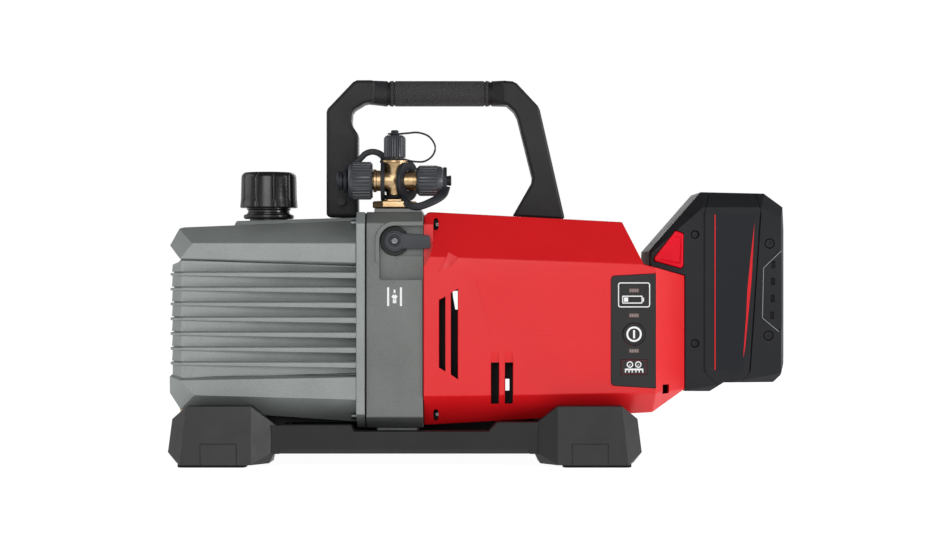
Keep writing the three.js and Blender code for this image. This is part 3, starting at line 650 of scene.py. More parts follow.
# A black disc under the hub, widened to fill the whole well: partly the lever's black base, partly painted
# shade for the dark well.
skirt_and_well_shade = turned("lever_skirt_and_well_shade", [(0, -59.4), (9.5, -59.4), (9.9, -59), (9.9, -57.9), (0, -57.9)],
    (HUB.x, 0, HUB.y), "Y", 56)
hub_ring = turned("lever_hub", [(4.4, -60), (4.4, -62.9), (5.6, -62.9), (6.1, -62.4), (6.1, -60),
    (4.4, -60)], (HUB.x, 0, HUB.y), "Y", 56)
cut(arm, rod("screw_well", 4.3, -64, -60.6, (HUB.x, 0, HUB.y), "Y", 40))
for part in (skirt_and_well_shade, hub_ring):
    finish_edges(part, 0)
lever = one_mesh(arm, hub_ring)
fit(lever, "lever", "black_plastic", slate_plastic, "valve_lever")
fit(skirt_and_well_shade, "lever", "black_plastic", nylon_toned_for_light)
screw = turned("lever_screw_head", [(0, -62.6), (2, -62.6), (2.6, -62), (2.6, -60), (2, -60), (2, -51),
    (0, -51)], (HUB.x, 0, HUB.y), "Y", 32)
star = [(HUB.x + r * math.cos(math.radians(30 * i)), HUB.y + r * math.sin(math.radians(30 * i)))
        for i, r in enumerate((1.3, 0.85) * 6)]
cut(screw, drawn("star_socket", star, -64, -61.2))
finish_edges(screw, 0)
fit(screw, "lever", "steel", dark_zinc, "lever_screw")

# ---- Inlet manifold ----
# A forged brass cross, shot-blasted and then turned at its ports: the soft blends
# between the arms are the forging's, the hexagon and the flare seats are cut bright.
brass, tree, shader = new_material("forged_brass")
place = shade(tree, "TexCoord").outputs["Object"]
stain = shade(tree, "TexNoise", {"Scale": per_metre(9), "Detail": 6.0, "Roughness": 0.7}, {"Vector": place})
tint = shade(tree, "ValToRGB", links={"Fac": stain.outputs["Fac"]}, stops=[(0.25, linear("#86704f")),
    (0.5, linear("#bd9f78")), (0.75, linear("#d3bc9b"))])
blast = shade(tree, "TexNoise", {"Scale": per_metre(0.7), "Detail": 3.0}, {"Vector": place})
bump = shade(tree, "Bump", {"Strength": 0.25, "Distance": 0.08 * MM}, {"Height": blast.outputs["Fac"]})
gloss = shade(tree, "MapRange", {"From Min": 0.3, "From Max": 0.7, "To Min": 0.24, "To Max": 0.4},
    {"Value": stain.outputs["Fac"]})
wire(tree, shader, {"Metallic": 1.0}, {"Base Color": tint.outputs["Color"],
    "Normal": bump.outputs["Normal"], "Roughness": gloss.outputs["Result"]})

CROSS = (-57.6, -34, 193.4)


def from_cross(along, profile, name, steps=40):
    """A shape turned about one arm of the cross, heights measured from its centre."""
    return turned(name, profile, CROSS, along, steps)


forging = fuse(
    from_cross("Z", [(0, -13), (6.2, -13), (5.7, -9.5), (6.4, -5), (7, 4), (7.6, 8), (8.9, 12.4),
                     (0, 12.4)], "inlet_forging"),
    from_cross("X", [(0, -13.6), (7.2, -13.6), (7.2, 0), (6.6, 0), (6.6, 14.2), (0, 14.2)], "cross_arms"))
alone(forging)
remesh = forging.modifiers.new("voxels", "REMESH")
remesh.mode = "VOXEL"
remesh.voxel_size = 0.42 * MM
bpy.ops.object.modifier_apply(modifier=remesh.name)
soften = forging.modifiers.new("soften", "SMOOTH")
soften.factor = 0.6
soften.iterations = 22
bpy.ops.object.modifier_apply(modifier=soften.name)
bpy.ops.object.shade_smooth()
ports = [
    from_cross("X", [(0, -26.4), (5.6, -26.4), (6.3, -25.6), (6.3, -14.6), (7.7, -14.6), (7.9, -14.2),
                     (7.9, -12.6),
                     (7.5, -12.3), (0, -12.3)], "left_port"),
    from_cross("X", [(0, 13), (7.1, 13), (7.1, 14.6), (5.2, 14.6), (5.2, 26.4), (4.6, 27), (0, 27)],
               "right_port"),
    from_cross("Z", [(0, 11.8), (9.0, 11.8), (9.3, 12.2), (9.3, 13.6), (8.8, 14), (5, 14), (5, 15),
                     (3.4, 15), (3.4, 24.2),
                     (3, 24.6), (0, 24.6)], "top_port"),
    from_cross("Z", [(0, -33), (5.8, -33), (5.8, -19), (14.2, -19), (15.2, -18.2), (15.2, -14.6),
                     (14.2, -14), (9.2, -14),
                     (9.2, -13), (0, -13)], "base_collar", 6),
]
for port in ports:
    finish_edges(port, 0.15, 2, 20)
manifold = one_mesh(forging, *ports)
fit(manifold, "root", "brass", brass, "inlet_manifold")
o_ring = from_cross("Z", [(5.5, -12.6), (7.2, -12.6), (7.7, -12), (7.7, -10.4), (7.2, -9.8), (5.5, -9.8),
    (5.5, -12.6)], "inlet_o_ring")
finish_edges(o_ring, 0)
fit(o_ring, "root", "seal_rubber", pad_rubber)

# ---- Port caps, swivels and straps ----
# Nylon screw caps with ribbed grips over each flare port. A button on the end turns
# in the eye of a soft strap, and the strap's ring sits round the port's neck.
cap_nylon = moulded_plastic("cap_slate_nylon", "#3d4046", "#35383d", 0.32, shine=0.6)
strap_rubber = moulded_plastic("strap_thermoplastic_rubber", "#2a2c31", "#222429", 0.45)


def ribbed(name, stations, ribs, centre, along, sign=1, wall=0.5, samples=8):
    """A turned shape whose wall is ribbed: stations of (height, radius, groove depth) from end to end."""
    count = ribs * samples
    spots = []
    for height, radius, depth in stations:
        for i in range(count):
            phase = (i % samples) / samples
            dip = 0 if phase < wall else math.sin((phase - wall) / (1 - wall) * math.pi) ** 0.6
            reach = radius - depth * dip
            turn = 2 * math.pi * i / count
            a, b = reach * math.cos(turn), reach * math.sin(turn)
            where = {"X": (height * sign, a, b), "Y": (a, height * sign, b),
                     "Z": (a, b, height * sign)}[along]
            spots.append(Vector(where) + Vector(centre))
    faces = []
    for row in range(len(stations) - 1):
        for i in range(count):
            j = (i + 1) % count
            faces.append((row * count + i, row * count + j, (row + 1) * count + j, (row + 1) * count + i))
    piece = new_piece(name, spots, faces=faces)
    tidy_solid(piece, 0.004)
    alone(piece)
    bpy.ops.object.shade_smooth_by_angle(angle=math.radians(38))
    return piece


RIB = 0.8
port_caps = {
    "top": ("Z", 1, 28, [(15.6, 3.8, 0), (15.6, 6.7, 0), (16.2, 7.5, RIB), (28.8, 7.5, RIB), (30, 6.9, 0.3),
                         (31, 5.6, 0), (31, 0, 0), (28, 0, 0), (28, 3.8, 0), (15.6, 3.8, 0)]),
    "left": ("X", -1, 34, [(15, 6.7, 0), (15, 11.4, 0), (16.4, 12.9, 0.4), (17.2, 13, RIB), (28, 13, RIB),
                           (28.6, 12.6, 0), (30.2, 12.2, 0), (31.4, 10.8, 0), (31.4, 0, 0), (28.4, 0, 0),
                           (28.4, 6.7, 0),
                           (15, 6.7, 0)]),
    "right": ("X", 1, 30, [(15.1, 5.6, 0), (15.1, 8.6, 0), (16.9, 10.4, 0.4), (17.6, 10.5, RIB),
                           (28.6, 10.5, RIB),
                           (29.2, 10.2, 0), (31.8, 9.8, 0), (32.9, 8.8, 0), (32.9, 0, 0), (29.9, 0, 0),
                           (29.9, 5.6, 0),
                           (15.1, 5.6, 0)]),
}
swivels = {
    "top": [(31.3, 0), (31.3, 3.2), (32.9, 3.2), (32.9, 2.4), (33.4, 2.6), (34.2, 2.6), (34.6, 2),
            (34.6, 0)],
    "left": [(31.7, 0), (31.7, 4.2), (35.8, 4.2), (35.8, 6.3), (38.6, 6.3), (39.8, 5), (39.8, 0)],
    "right": [(33.2, 0), (33.2, 3.3), (37.3, 3.3), (37.5, 3.7), (38.3, 3.6), (38.8, 3), (38.8, 0)],
}
for port, (along, sign, ribs, stations) in port_caps.items():
    cap = ribbed(f"{port}_port_cap", stations, ribs, CROSS, along, sign)
    fit(cap, f"{port}_cap", "cap_plastic", cap_nylon, f"flare_cap_{port}")
    button = turned(f"{port}_cap_button", [(r, h * sign) for h, r in swivels[port]], CROSS, along, 36)
    finish_edges(button, 0.2)
    fit(button, f"{port}_cap_swivel", "cap_plastic", strap_rubber, f"cap_swivel_{port}")


def smooth_path(points, per_span=8):
    """Corners along a smooth curve through the points."""
    ends = [points[0] * 2 - points[1], *points, points[-1] * 2 - points[-2]]
    path = []
    for i in range(1, len(ends) - 2):
        a, b, c, d = ends[i - 1:i + 3]
        for step in range(per_span):
            t = step / per_span
            path.append(0.5 * ((2 * b) + (c - a) * t + (2 * a - 5 * b + 4 * c - d) * t * t + (
                3 * b - a - 3 * c + d) * t ** 3))
    return path + [points[-1]]


def band(name, points, widths, thick, flat_towards):
    """A soft band along a curve, its flat side turned towards a direction, with rounded edges."""
    path = smooth_path([Vector(p) + Vector(CROSS) for p in points])
    n = len(path)
    corners, ring = [], 10
    for i, spot in enumerate(path):
        run = (path[min(i + 1, n - 1)] - path[max(i - 1, 0)]).normalized()
        across = run.cross(Vector(flat_towards)).normalized()
        out = across.cross(run).normalized()
        share = i / (n - 1) * (len(widths) - 1)
        low = min(int(share), len(widths) - 2)
        width = widths[low] + (widths[low + 1] - widths[low]) * (share - low)
        for k in range(ring):
            turn = 2 * math.pi * k / ring
            flat = math.copysign(abs(math.cos(turn)) ** 0.55, math.cos(turn)) * width / 2
            deep = math.copysign(abs(math.sin(turn)) ** 0.8, math.sin(turn)) * thick / 2
            corners.append(spot + across * flat + out * deep)
    faces = [(i * ring + k, i * ring + (k + 1) % ring, (i + 1) * ring + (k + 1) % ring, (i + 1) * ring + k)
             for i in range(n - 1) for k in range(ring)]
    faces += [tuple(range(ring)), tuple((n - 1) * ring + k for k in reversed(range(ring)))]
    piece = new_piece(name, corners, faces=faces)
    tidy_solid(piece, 0.001)
    alone(piece)
    bpy.ops.object.shade_smooth_by_angle(angle=math.radians(60))
    return piece


def eye(name, along, at, inner, outer, thick, tilt=0):
    """A flat ring of the strap round a port's neck or a cap's button."""
    made = turned(name, [(inner, at - thick / 2), (outer - 0.3, at - thick / 2), (outer, at - thick / 4),
        (outer, at + thick / 4), (outer - 0.3, at + thick / 2), (inner, at + thick / 2),
        (inner, at - thick / 2)], CROSS, along, 44)
    if tilt:
        middle = Vector(CROSS) * MM + TURN_AXIS[along] * at * MM
        lean = Matrix.Rotation(math.radians(tilt), 4, "Z")
        made.data.transform(Matrix.Translation(middle) @ lean @ Matrix.Translation(-middle))
    finish_edges(made, 0)
    return made


straps = {
    "top": (band("top_strap", [(4, 0, 32.2), (9, 0, 32.6), (16, 0, 33), (23, 0, 30.6), (27, 0, 25.6),
                               (27.6, 0, 21),
                               (25.2, 0, 16.4), (20, 0, 13.2), (13, 0, 13.2), (7, 0, 14.5)],
                 (3.4, 3, 3, 3.4), 1.3, (0, 0, 1)),
            eye("top_strap_eye", "Z", 32.1, 2.9, 4.9, 1.0), eye("top_strap_ring", "Z", 14.6, 5.1, 8.2,
                                                                1.1)),
    "left": (band("left_strap", [(-33.4, 4, 3), (-32, 6, 8), (-28.6, 8, 11.6), (-24.4, 8.5, 15),
                                 (-20.4, 8.5, 18.9),
                                 (-15.6, 8.5, 20.3), (-10.8, 8, 19), (-7.6, 6, 15.8), (-8, 3, 12.4)],
                  (5, 4.2, 4.2, 5),
                  1.8, (0, 1, 0)),
             eye("left_strap_eye", "X", -33.7, 4.4, 8.2, 2.0), eye("left_strap_ring", "X", -8.1, 7.5, 14,
                                                                   2.6)),
    "right": (band("right_strap", [(35, -6, -4.4), (33.4, -9, -9.2), (29.6, -13, -12.6), (24, -16, -15.6),
                                   (17.4, -17, -18), (11.6, -16, -17.8), (7.8, -13, -15), (6.4, -9, -11)],
                   (6.6, 5.6, 5, 5), 1.9, (0.25, 1, 0.1)),
              eye("right_strap_eye", "X", 34.4, 3.4, 9.3, 2.6), eye("right_strap_ring", "X", 8.9, 7.2, 14,
                                                                    2.6, -28)),
}
for port, (strip, eyelet, neck_ring) in straps.items():
    along = TURN_AXIS[port_caps[port][0]] * port_caps[port][1]
    strip.data.materials.append(strap_rubber)
    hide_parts(f"cap_strap_{port}")
    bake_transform(strip)
    fit(eyelet, f"{port}_cap_swivel", "cap_plastic", strap_rubber)
    fit(neck_ring, "root", "cap_plastic", strap_rubber)

# ---- Oil filler neck and cap ----
# A glossy black filler cap with ten broad finger pads over the exhaust neck; the
# neck screws into the plinth on the tank.
gloss_black = moulded_plastic("gloss_black_acetal", "#141415", "#0f0f10", 0.24, 1.2, 0.02, 0.5)
FILLER = (-146.7, 0, 171)
oil_cap = ribbed("oil_fill_cap", [
    (4.6, 14.2, 0), (4.6, 19.6, 0), (5.2, 20.1, 0.2), (8, 19.8, 0.7), (11, 19.5, 1.1), (25.6, 19.2, 1.1),
    (27.6, 18.8, 0.7),
    (29.2, 17.2, 0), (29.4, 16.4, 0), (29.4, 12, 0), (28.9, 11.6, 0), (28.9, 0, 0), (21.2, 0, 0),
    (21.2, 14.2, 0),
    (4.6, 14.2, 0)], 10, FILLER, "Z", 1, 0.82, 28)
fit(oil_cap, "oil_cap", "oil_cap_gloss", gloss_black, "oil_cap")
neck = turned("oil_filler_neck", [
    (10.5, -16), (13.3, -16), (13.3, -3.1), (16.6, -3.1), (17.6, -2.4), (17.6, -0.6), (17, 0), (15.4, 0),
    (15.4, 0.8),
    (14.6, 1.2), (14.6, 3), (15.4, 3.4), (15.4, 4.2), (13.8, 4.2), (13.8, 17.4), (13.2, 18), (10.5, 18),
    (10.5, -16)], FILLER, "Z", 56)
finish_edges(neck, 0.2)
fit(neck, "root", "black_plastic", gloss_black, "filler_neck")

# ---- Carrying handle ----
# A deep glass-filled nylon bow bolted to the pump head and the motor housing, with
# wide chamfers along both faces and a knurled rubber sleeve over a round core.
HALF = 13
left_leg = drawn("handle_left_leg", [
    (-105.8, 168.9), (-105.8, 242), (-105, 244.4), (-87.4, 262.9), (-84.6, 264.3), (-72, 264.3),
    (-72, 248.6),
    (-75.6, 249), (-79.6, 248), (-86.4, 243.8), (-88, 241.4), (-88.4, 235.4), (-87.8, 232.6),
    (-84.6, 227.8), (-83.8, 225),
    (-83.8, 168.9)], -HALF, HALF)
right_leg = drawn("handle_right_leg", [
    (16, 264), (23.6, 263.5), (26.6, 262), (41.2, 246.4), (42.6, 243.6), (60.1, 167.2), (23.4, 169.15),
    (37, 193), (37.4, 196.4),
    (27, 238), (24.6, 242.6), (20, 246.8), (16, 248.5)], -HALF, HALF)
finish_edges(left_leg, 4.2, 5, 70)
finish_edges(right_leg, 1.7, 1, 70)
finish_edges(right_leg, 0.35, 2, 30)
GRIP_Z = 255.6
GRIP_LINE = (0, 0, GRIP_Z)
CORE = 8.9
necks = []
for name, square_x, round_x, low, top, ease in (("left_neck", -77.4, -64.4, 248.6, 264.3, 4.2),
        ("right_neck", 19, 9.8, 247.2, 263.95, 1.7)):
    section = [(sign_y * (HALF + 0.02 - ease * a), low + ease * b if sign_z < 0 else top - ease * b)
               for sign_y in (-1, 1) for sign_z in (-1, 1) for a, b in ((0, 1), (0.29, 0.29), (1, 0))]
    necks.append(hulled(name, [(square_x, y, z) for y, z in section] + [
        (round_x, CORE * math.cos(turn / 16 * math.pi), GRIP_Z + CORE * math.sin(turn / 16 * math.pi))
        for turn in range(32)]))
    finish_edges(necks[-1], 0)
core = turned("handle_core", [(0, -66), (CORE, -66), (CORE, -63.6), (8.1, -63.3), (8.1, -62.3),
    (CORE, -62), (CORE, -61.6), (0, -61.6), (0, 7.1), (CORE, 7.1), (CORE, 7.6), (8.1, 7.9), (8.1, 8.9),
    (CORE, 9.2), (CORE, 11), (0, 11)], GRIP_LINE, "X", 48)
finish_edges(core, 0)
handle = one_mesh(left_leg, right_leg, core, *necks)
handle.name = "carrying_handle"
cut(handle, rod("screw_hole", 2.9, -20, -8, (-95.2, 0, 179.7), "Y", 28))
handle_nylon = moulded_plastic("handle_black_nylon", "#29292b", "#242426", 0.46, shine=0.2)
fit(handle, "root", "black_plastic", handle_nylon, "handle")
handle_screw = cap_screw("handle_screw", (-95.2, -9.6, 179.7), 2.4, "Y", 3, -1)
fit(handle_screw, "root", "steel", dark_zinc)

grip_rubber, tree, shader = new_material("knurled_grip_rubber")
place = shade(tree, "SeparateXYZ", links={"Vector": shade(tree, "TexCoord").outputs["Object"]})
up = shade(tree, "Math", {1: GRIP_Z * MM}, {0: place.outputs["Z"]}, operation="SUBTRACT")
round_angle = shade(tree, "Math", links={0: place.outputs["Y"], 1: up.outputs["Value"]},
    operation="ARCTAN2")
KNURLS_ROUND = 34
KNURL_PITCH = 1.7
turns = shade(tree, "Math", {1: KNURLS_ROUND}, {0: round_angle.outputs["Value"]}, operation="MULTIPLY")
strides = shade(tree, "Math", {1: 2 * math.pi / (KNURL_PITCH * MM)}, {0: place.outputs["X"]},
    operation="MULTIPLY")
waves = []
for way in ("ADD", "SUBTRACT"):
    mixed = shade(tree, "Math", links={0: strides.outputs["Value"], 1: turns.outputs["Value"]},
        operation=way)
    waves.append(shade(tree, "Math", links={0: mixed.outputs["Value"]}, operation="SINE").outputs["Value"])
knurl = shade(tree, "Math", links={0: waves[0], 1: waves[1]}, operation="MAXIMUM")
bump = shade(tree, "Bump", {"Strength": 0.9, "Distance": 0.3 * MM}, {"Height": knurl.outputs["Value"]})
# Darker in the knurl's valleys, lighter on its ridges: painted shade and highlight that follow the knurl's
# relief.
height = shade(tree, "MapRange", {"From Min": -1.0}, {"Value": knurl.outputs["Value"]})
tint = shade(tree, "ValToRGB", links={"Fac": height.outputs["Result"]}, stops=[(0.0, linear("#222224")),
    (1.0, linear("#3e3e40"))])
wire(tree, shader, {"Roughness": 0.62}, {"Base Color": tint.outputs["Color"],
    "Normal": bump.outputs["Normal"]})
GRIP_FROM, GRIP_TO = -61.5, 7
grip = turned("grip_sleeve", [
    (7.1, GRIP_FROM), (8.5, GRIP_FROM), (9, GRIP_FROM + 0.5), (9, GRIP_FROM + 2), (8.3, GRIP_FROM + 2.3),
    (8.3, GRIP_FROM + 3.1),
    (8.9, GRIP_FROM + 3.4), (8.9, GRIP_TO - 3.4), (8.3, GRIP_TO - 3.1), (8.3, GRIP_TO - 2.3),
    (9, GRIP_TO - 2),
    (9, GRIP_TO - 0.5), (8.5, GRIP_TO), (7.1, GRIP_TO), (7.1, GRIP_FROM)], GRIP_LINE, "X", 64)
finish_edges(grip, 0)
fit(grip, "root", "grip_rubber", grip_rubber, "handle_grip")

# ---- Motor housing halves ----
# Two mirror-image ABS clamshells screwed together along the middle, with slanted
# vent slots, screw wells and a square eye for a lanyard through the lower corner.
HOUSE_LEFT, HOUSE_RIGHT, HOUSE_WALL = -37.4, 140.4, 2.8


def house_form(name, inset):
    """The faceted outer form of both housing halves together, drawn in by inset."""
    i, side, left = inset, SIDE - inset, HOUSE_LEFT - (1 if inset else 0)
    whole = hulled(name, both_sides([
        (left, 45 - i / 2, 26.6 + i), (left, side, 47.6), (left, side, 141.2), (left, 43 - i / 2, 172 - i),
        (97.7 - i, 43 - i / 2, 164.9 - i), (110.9 - i, side, 135.9 - i), (119 - i, side, 133.9 - i),
        (119 - i, side, 49.4),
        (118 - i, 45 - i / 2, 35.3 + i), (HOUSE_RIGHT - i, 41 - i / 2, 128.5 - i),
        (HOUSE_RIGHT - i, 41 - i / 2, 51),
    ]))
    return cut(whole, drawn("behind_handle", [(97.7 - i, 164.9), (110.9 - i, 135.9 - i), (150, 126 - i),
        (150, 190), (97.7 - i, 190)], -90, 90))


def span(side, near, far):
    """Two distances from the middle plane, both on one side of it, the lower first."""
    return sorted((side * near, side * far))


def slot_cutter(name, outline, side):
    """Cuts a slot through one side's wall, its rim eased where it meets the outside."""
    middle = sum((Vector(p) for p in outline), Vector((0, 0))) / len(outline)
    eased = [tuple(Vector(p) + Vector((math.copysign(0.5, p[0] - middle.x),
        math.copysign(0.5, p[1] - middle.y)))) for p in outline]
    rim = hulled(name, [(x, side * 65.4, z) for x, z in eased] + [(x, side * 64.3, z) for x, z in outline])
    return fuse(drawn(name, outline, *span(side, 80, 40)), rim)


outer = house_form("housing_form", 0)
cut(outer, drawn("top_corner", [(-39, 166.6), (-37.5, 167), (-36.9, 169.2), (-35.4, 171), (-33, 171.8),
    (-33, 180), (-39, 180)], -90, 90))
finish_edges(outer, 0.9, 3, 8)
inner = house_form("housing_room", HOUSE_WALL)
cut(outer, inner)
SLOTS = [
    [(-26.9, 66.6), (-22.7, 64), (-22.7, 114.4), (-26.9, 111.8)],
    [(-19, 61.9), (-14.3, 58.6), (-14.3, 119.6), (-19, 116.6)],
    [(8, 41.9), (13.4, 41.9), (13.4, 69.9), (8, 69.9)],
    [(17.4, 41.9), (22.8, 41.9), (22.8, 69.9), (17.4, 69.9)],
]
PANEL_OUTLINE = [(88.8, 57.6), *arc((91.4, 57), 2.6, 180, 258, 4), (118.7, 52.7), (118.7, 129.7),
    *arc((91.4, 125.6), 2.6, 95, 180, 4)]


def housing_half(name, side):
    half = twin(outer, name, Matrix.Identity(4))
    cut(half, block("other_half", -60, 160, *span(side, 0.06, -90), 0, 200))
    for outline in SLOTS:
        cut(half, slot_cutter("slot", outline, side))
    for x0, x1 in ((8, 13.4), (17.4, 22.8)):
        cut(half, hulled("scoop", [(x, side * y, z) for x in (x0, x1) for y, z in ((66, 69), (63.2, 69),
            (66, 77), (64.95, 77))]))
    for z in (163.3, 33.9):
        well = [*arc((-29.2, z + 2.4), 1.7, 0, 180, 8), *arc((-29.2, z - 2.4), 1.7, 180, 360, 8)]
        cut(half, drawn("screw_well", well, *span(side, 80, 40)))
    eye_hole = hulled("lanyard_eye", [(x, side * y, z) for x, y in ((126, 70), (131, 66), (121, 44),
        (126, 40)) for z in (48.6, 54.8)])
    cut(half, eye_hole)
    cut(half, block("dock_hole", 130, 150, -24.5, 24.5, 59.5, 114.5))
    return half


# Black sheets behind the front slots, with gaps where light shows through: painted shade for the housing's
# dark inside.
shade_linings = one_mesh(
    cut(drawn("coupling_shade_lining", [(-36, 50), (-2, 50), (-2, 124), (-36, 124)], -53, -52.4),
        drawn("light_gap", [(-16, 105.4), (-14.4, 105.4), (-14.4, 118), (-18.3, 118)], -56, -50)),
    cut(drawn("stator_shade_lining", [(2, 37.5), (30, 37.5), (30, 76), (2, 76)], -52.4, -51.8),
        drawn("light_gap", [(17.9, 50.5), (20.6, 50.5), (20.6, 59), (17.9, 59)], -56, -50)))
front_half = housing_half("housing_front_shell", -1)
rear_half = housing_half("housing_rear_shell", 1)
cut(front_half,
    drawn("lever_notch", [(-45, 135.2), (-36.6, 135.2), (-34, 140), (-32.1, 144.5), (-31.4, 148),
                          (-31.4, 161.2),
                          (-32.6, 162.3), (-45, 162.3)], -80, -55),
    drawn("panel_seat", [(x + (0.3 if x > 100 else -0.3), z + (0.3 if z > 90 else -0.3)) for x,
                         z in PANEL_OUTLINE], -80, -62.3),
    hulled("corner_facet", [(-20.5, -70, 144), (-12.9, -70, 141), (-18.9, -70, 134.9), (-27.8, -70, 130.9),
                            (-20.5, -62.2, 144), (-12.9, -64.9, 141), (-18.9, -64.9, 134.9),
                            (-27.8, -64.9, 130.9)]),
    groove("badge_field", [(-2, 125), (8, 88), (80, 88)], 0.5, 0.16, lambda x, z: -65),
    groove("badge_top", [(14, 132.5), (84, 132.5)], 0.5, 0.16, lambda x, z: -65))
notch_floor = block("notch_floor", -37.3, -31, -57.4, -56.6, 133.8, 163)
one_mesh(front_half, notch_floor)
bpy.data.objects.remove(outer)
red_abs = moulded_plastic("red_abs", "#dc161d", "#d6141a", 0.36, 0.7, 0.03, 0.4)
for half in (front_half, rear_half):
    finish_edges(half, 0)
fit(front_half, "root", "red_plastic", red_abs, "housing_front")
fit(rear_half, "root", "red_plastic", red_abs, "housing_rear")
well_screws = [cap_screw("housing_screw", (-28.3, side * y, z), 1.5, "Y", 4, side) for side in (-1, 1)
    for y, z in ((47.4, 163.1), (49.5, 34.2))]
# Black plates behind the housing's screw wells: painted shade that makes the wells read dark round each
# screw's glint.
well_shade_plates = one_mesh(*[block("well_shade_plate", -32, -26.6, *span(side, y - 2, y - 3), z - 4.6, z + 4.6)
    for side in (-1, 1) for y, z in ((47.4, 161.6), (49.5, 36))])
# A black plate inside the housing with two windows: painted shade that keeps the slots dark except where
# light shows through.
shade_baffle = drawn("housing_shade_baffle", [(-36, 36), (60, 36), (60, 130), (-36, 130)], 46, 46.8)
cut(shade_baffle, drawn("upper_window", [(-16.2, 92.6), (-14.6, 92.6), (-14.6, 118.2), (-18.5, 118.2)], 40, 50),
    block("lower_window", 18.6, 23, 40, 50, 43, 60))
for part in (well_shade_plates, shade_baffle, shade_linings):
    fit(part, "root", "black_plastic", pad_rubber)
housing_screws = one_mesh(*well_screws)
fit(housing_screws, "root", "steel", dark_zinc)

# ---- Control panel ----
# A dark membrane plate let into the housing, with three keys, three light windows
# and white screen-printed signs.
panel_film = moulded_plastic("panel_polycarbonate_film", "#252426", "#201f21", 0.46, 0.4, 0.02)
PANEL_FACE = -65.2
CHECK_FACE, POWER_FACE, MODE_FACE = -65.55, -65.4, -65.5
AXIS_X = 104.2
CHECK_Z, MODE_Z = 115.4, 66.9
POWER_AT = (AXIS_X, 0, 89)


def rounded(x0, x1, z0, z1, r):
    """A rectangle's outline with rounded corners."""
    return [*arc((x1 - r, z1 - r), r, 0, 90, 4), *arc((x0 + r, z1 - r), r, 90, 180, 4),
            *arc((x0 + r, z0 + r), r, 180, 270, 4), *arc((x1 - r, z0 + r), r, 270, 360, 4)]


def centred(wide, high, z, r):
    return rounded(AXIS_X - wide / 2, AXIS_X + wide / 2, z - high / 2, z + high / 2, r)


plate = drawn("panel_plate", PANEL_OUTLINE, PANEL_FACE, -62.5)
finish_edges(plate, 0.3, 2)
KEY_GAP = 0.25
for wide, high, z, r in ((21.4, 16.6, CHECK_Z, 1.6), (17, 9.8, MODE_Z, 0.5)):
    cut(plate, drawn("key_hole", centred(wide + 2 * KEY_GAP, high + 2 * KEY_GAP, z, r), -70, -60))
cut(plate, rod("power_hole", 7.8, -70, -60, POWER_AT, "Y", 48))
LIGHTS = (118.4, 101.6, 77.8)
for z in LIGHTS[1:]:
    cut(plate, drawn("light_window", centred(7.2, 3.2, z, 0.7), -70, PANEL_FACE + 0.35))
finish_edges(plate, 0)
fit(plate, "root", "panel_rubber", panel_film, "control_panel")
check_key = drawn("battery_check_key", centred(21.4, 16.6, CHECK_Z, 1.5), CHECK_FACE, -61.6)
finish_edges(check_key, 0.3)
cut(check_key, drawn("light_window", centred(7.2, 3.2, LIGHTS[0], 0.7), -70, -65.2))
fit(check_key, "battery_check", "panel_rubber", panel_film, "battery_check_button")
power_key = turned("power_key", [(0, POWER_FACE), (5.9, POWER_FACE), (6.3, -65.9), (7.2, -65.9),
    (7.5, -65.5), (7.5, -61.7), (0, -61.7)], POWER_AT, "Y", 56)
finish_edges(power_key, 0)
fit(power_key, "power", "panel_rubber", panel_film, "power_button")
mode_key = drawn("mode_key", centred(17, 9.8, MODE_Z, 0.5), MODE_FACE, -61.7)
finish_edges(mode_key, 0.3)
fit(mode_key, "mode", "panel_rubber", panel_film, "mode_button")


def printed(name, outlines, face, holes=()):
    """Ink lying on a face: raised outlines, with holes cut from the first of them."""
    marks = [drawn(name, outline, face - INK, face + 0.05) for outline in outlines]
    for hole in holes:
        cut(marks[0], drawn(name, hole, face - 1, face + 1))
    return one_mesh(*marks)


check_sign = one_mesh(
    printed("check_frame", [centred(21.6, 16.8, CHECK_Z, 1.7)], CHECK_FACE,
            [centred(20.2, 15.4, CHECK_Z, 1.1)]),
    printed("battery_sign", [rounded(96.2, 109.9, 109.6, 114.9, 0.7)], CHECK_FACE,
            [rounded(96.9, 109.2, 110.3, 114.2, 0.3)]),
    printed("battery_cell", [rounded(97.4, 100.2, 110.8, 113.7, 0.2),
                             rounded(110.1, 110.9, 110.9, 113.6, 0.2)], CHECK_FACE))
fit(check_sign, "battery_check", "panel_rubber", white_ink)
power_ring = turned("power_ring", [(3.9, POWER_FACE - INK), (5.2, POWER_FACE - INK), (5.2, -65.3),
    (3.9, -65.3), (3.9, POWER_FACE - INK)], POWER_AT, "Y", 56)
power_sign = one_mesh(power_ring, printed("power_bar", [centred(1.4, 5.6, POWER_AT[2], 0.6)], POWER_FACE))
fit(power_sign, "power", "panel_rubber", white_ink)
gauge_parts = []
for x in (AXIS_X - 2.8, AXIS_X + 2.8):
    gauge_parts.append(turned("gauge_ring", [(1.45, MODE_FACE - INK), (2.2, MODE_FACE - INK),
        (2.2, -65.4), (1.45, -65.4), (1.45, MODE_FACE - INK)], (x, 0, 68.6), "Y", 32))
    gauge_parts.append(printed("gauge_needle", [[(x - 0.7, 68), (x - 0.2, 67.7), (x + 0.8, 69.3)]],
        MODE_FACE))
gauge_parts.append(printed("hose_bar", [[(98, 65.9), (98, 64.7), (110.4, 64.7), (110.4, 65.9)]] + [[(x,
    64.8), (x, 63.2), (x + 0.8, 63.2), (x + 0.8, 64.8)] for x in (98, 100.4, 102.6, 105, 107.2, 109.6)],
    MODE_FACE))
gauge_sign = one_mesh(*gauge_parts)
fit(gauge_sign, "mode", "panel_rubber", white_ink)
lens_brown = flat_colour("smoked_light_window", "#5a4a48", 0.3)
lens_dots = flat_colour("unlit_light_segment", "#8d7f7b", 0.35)
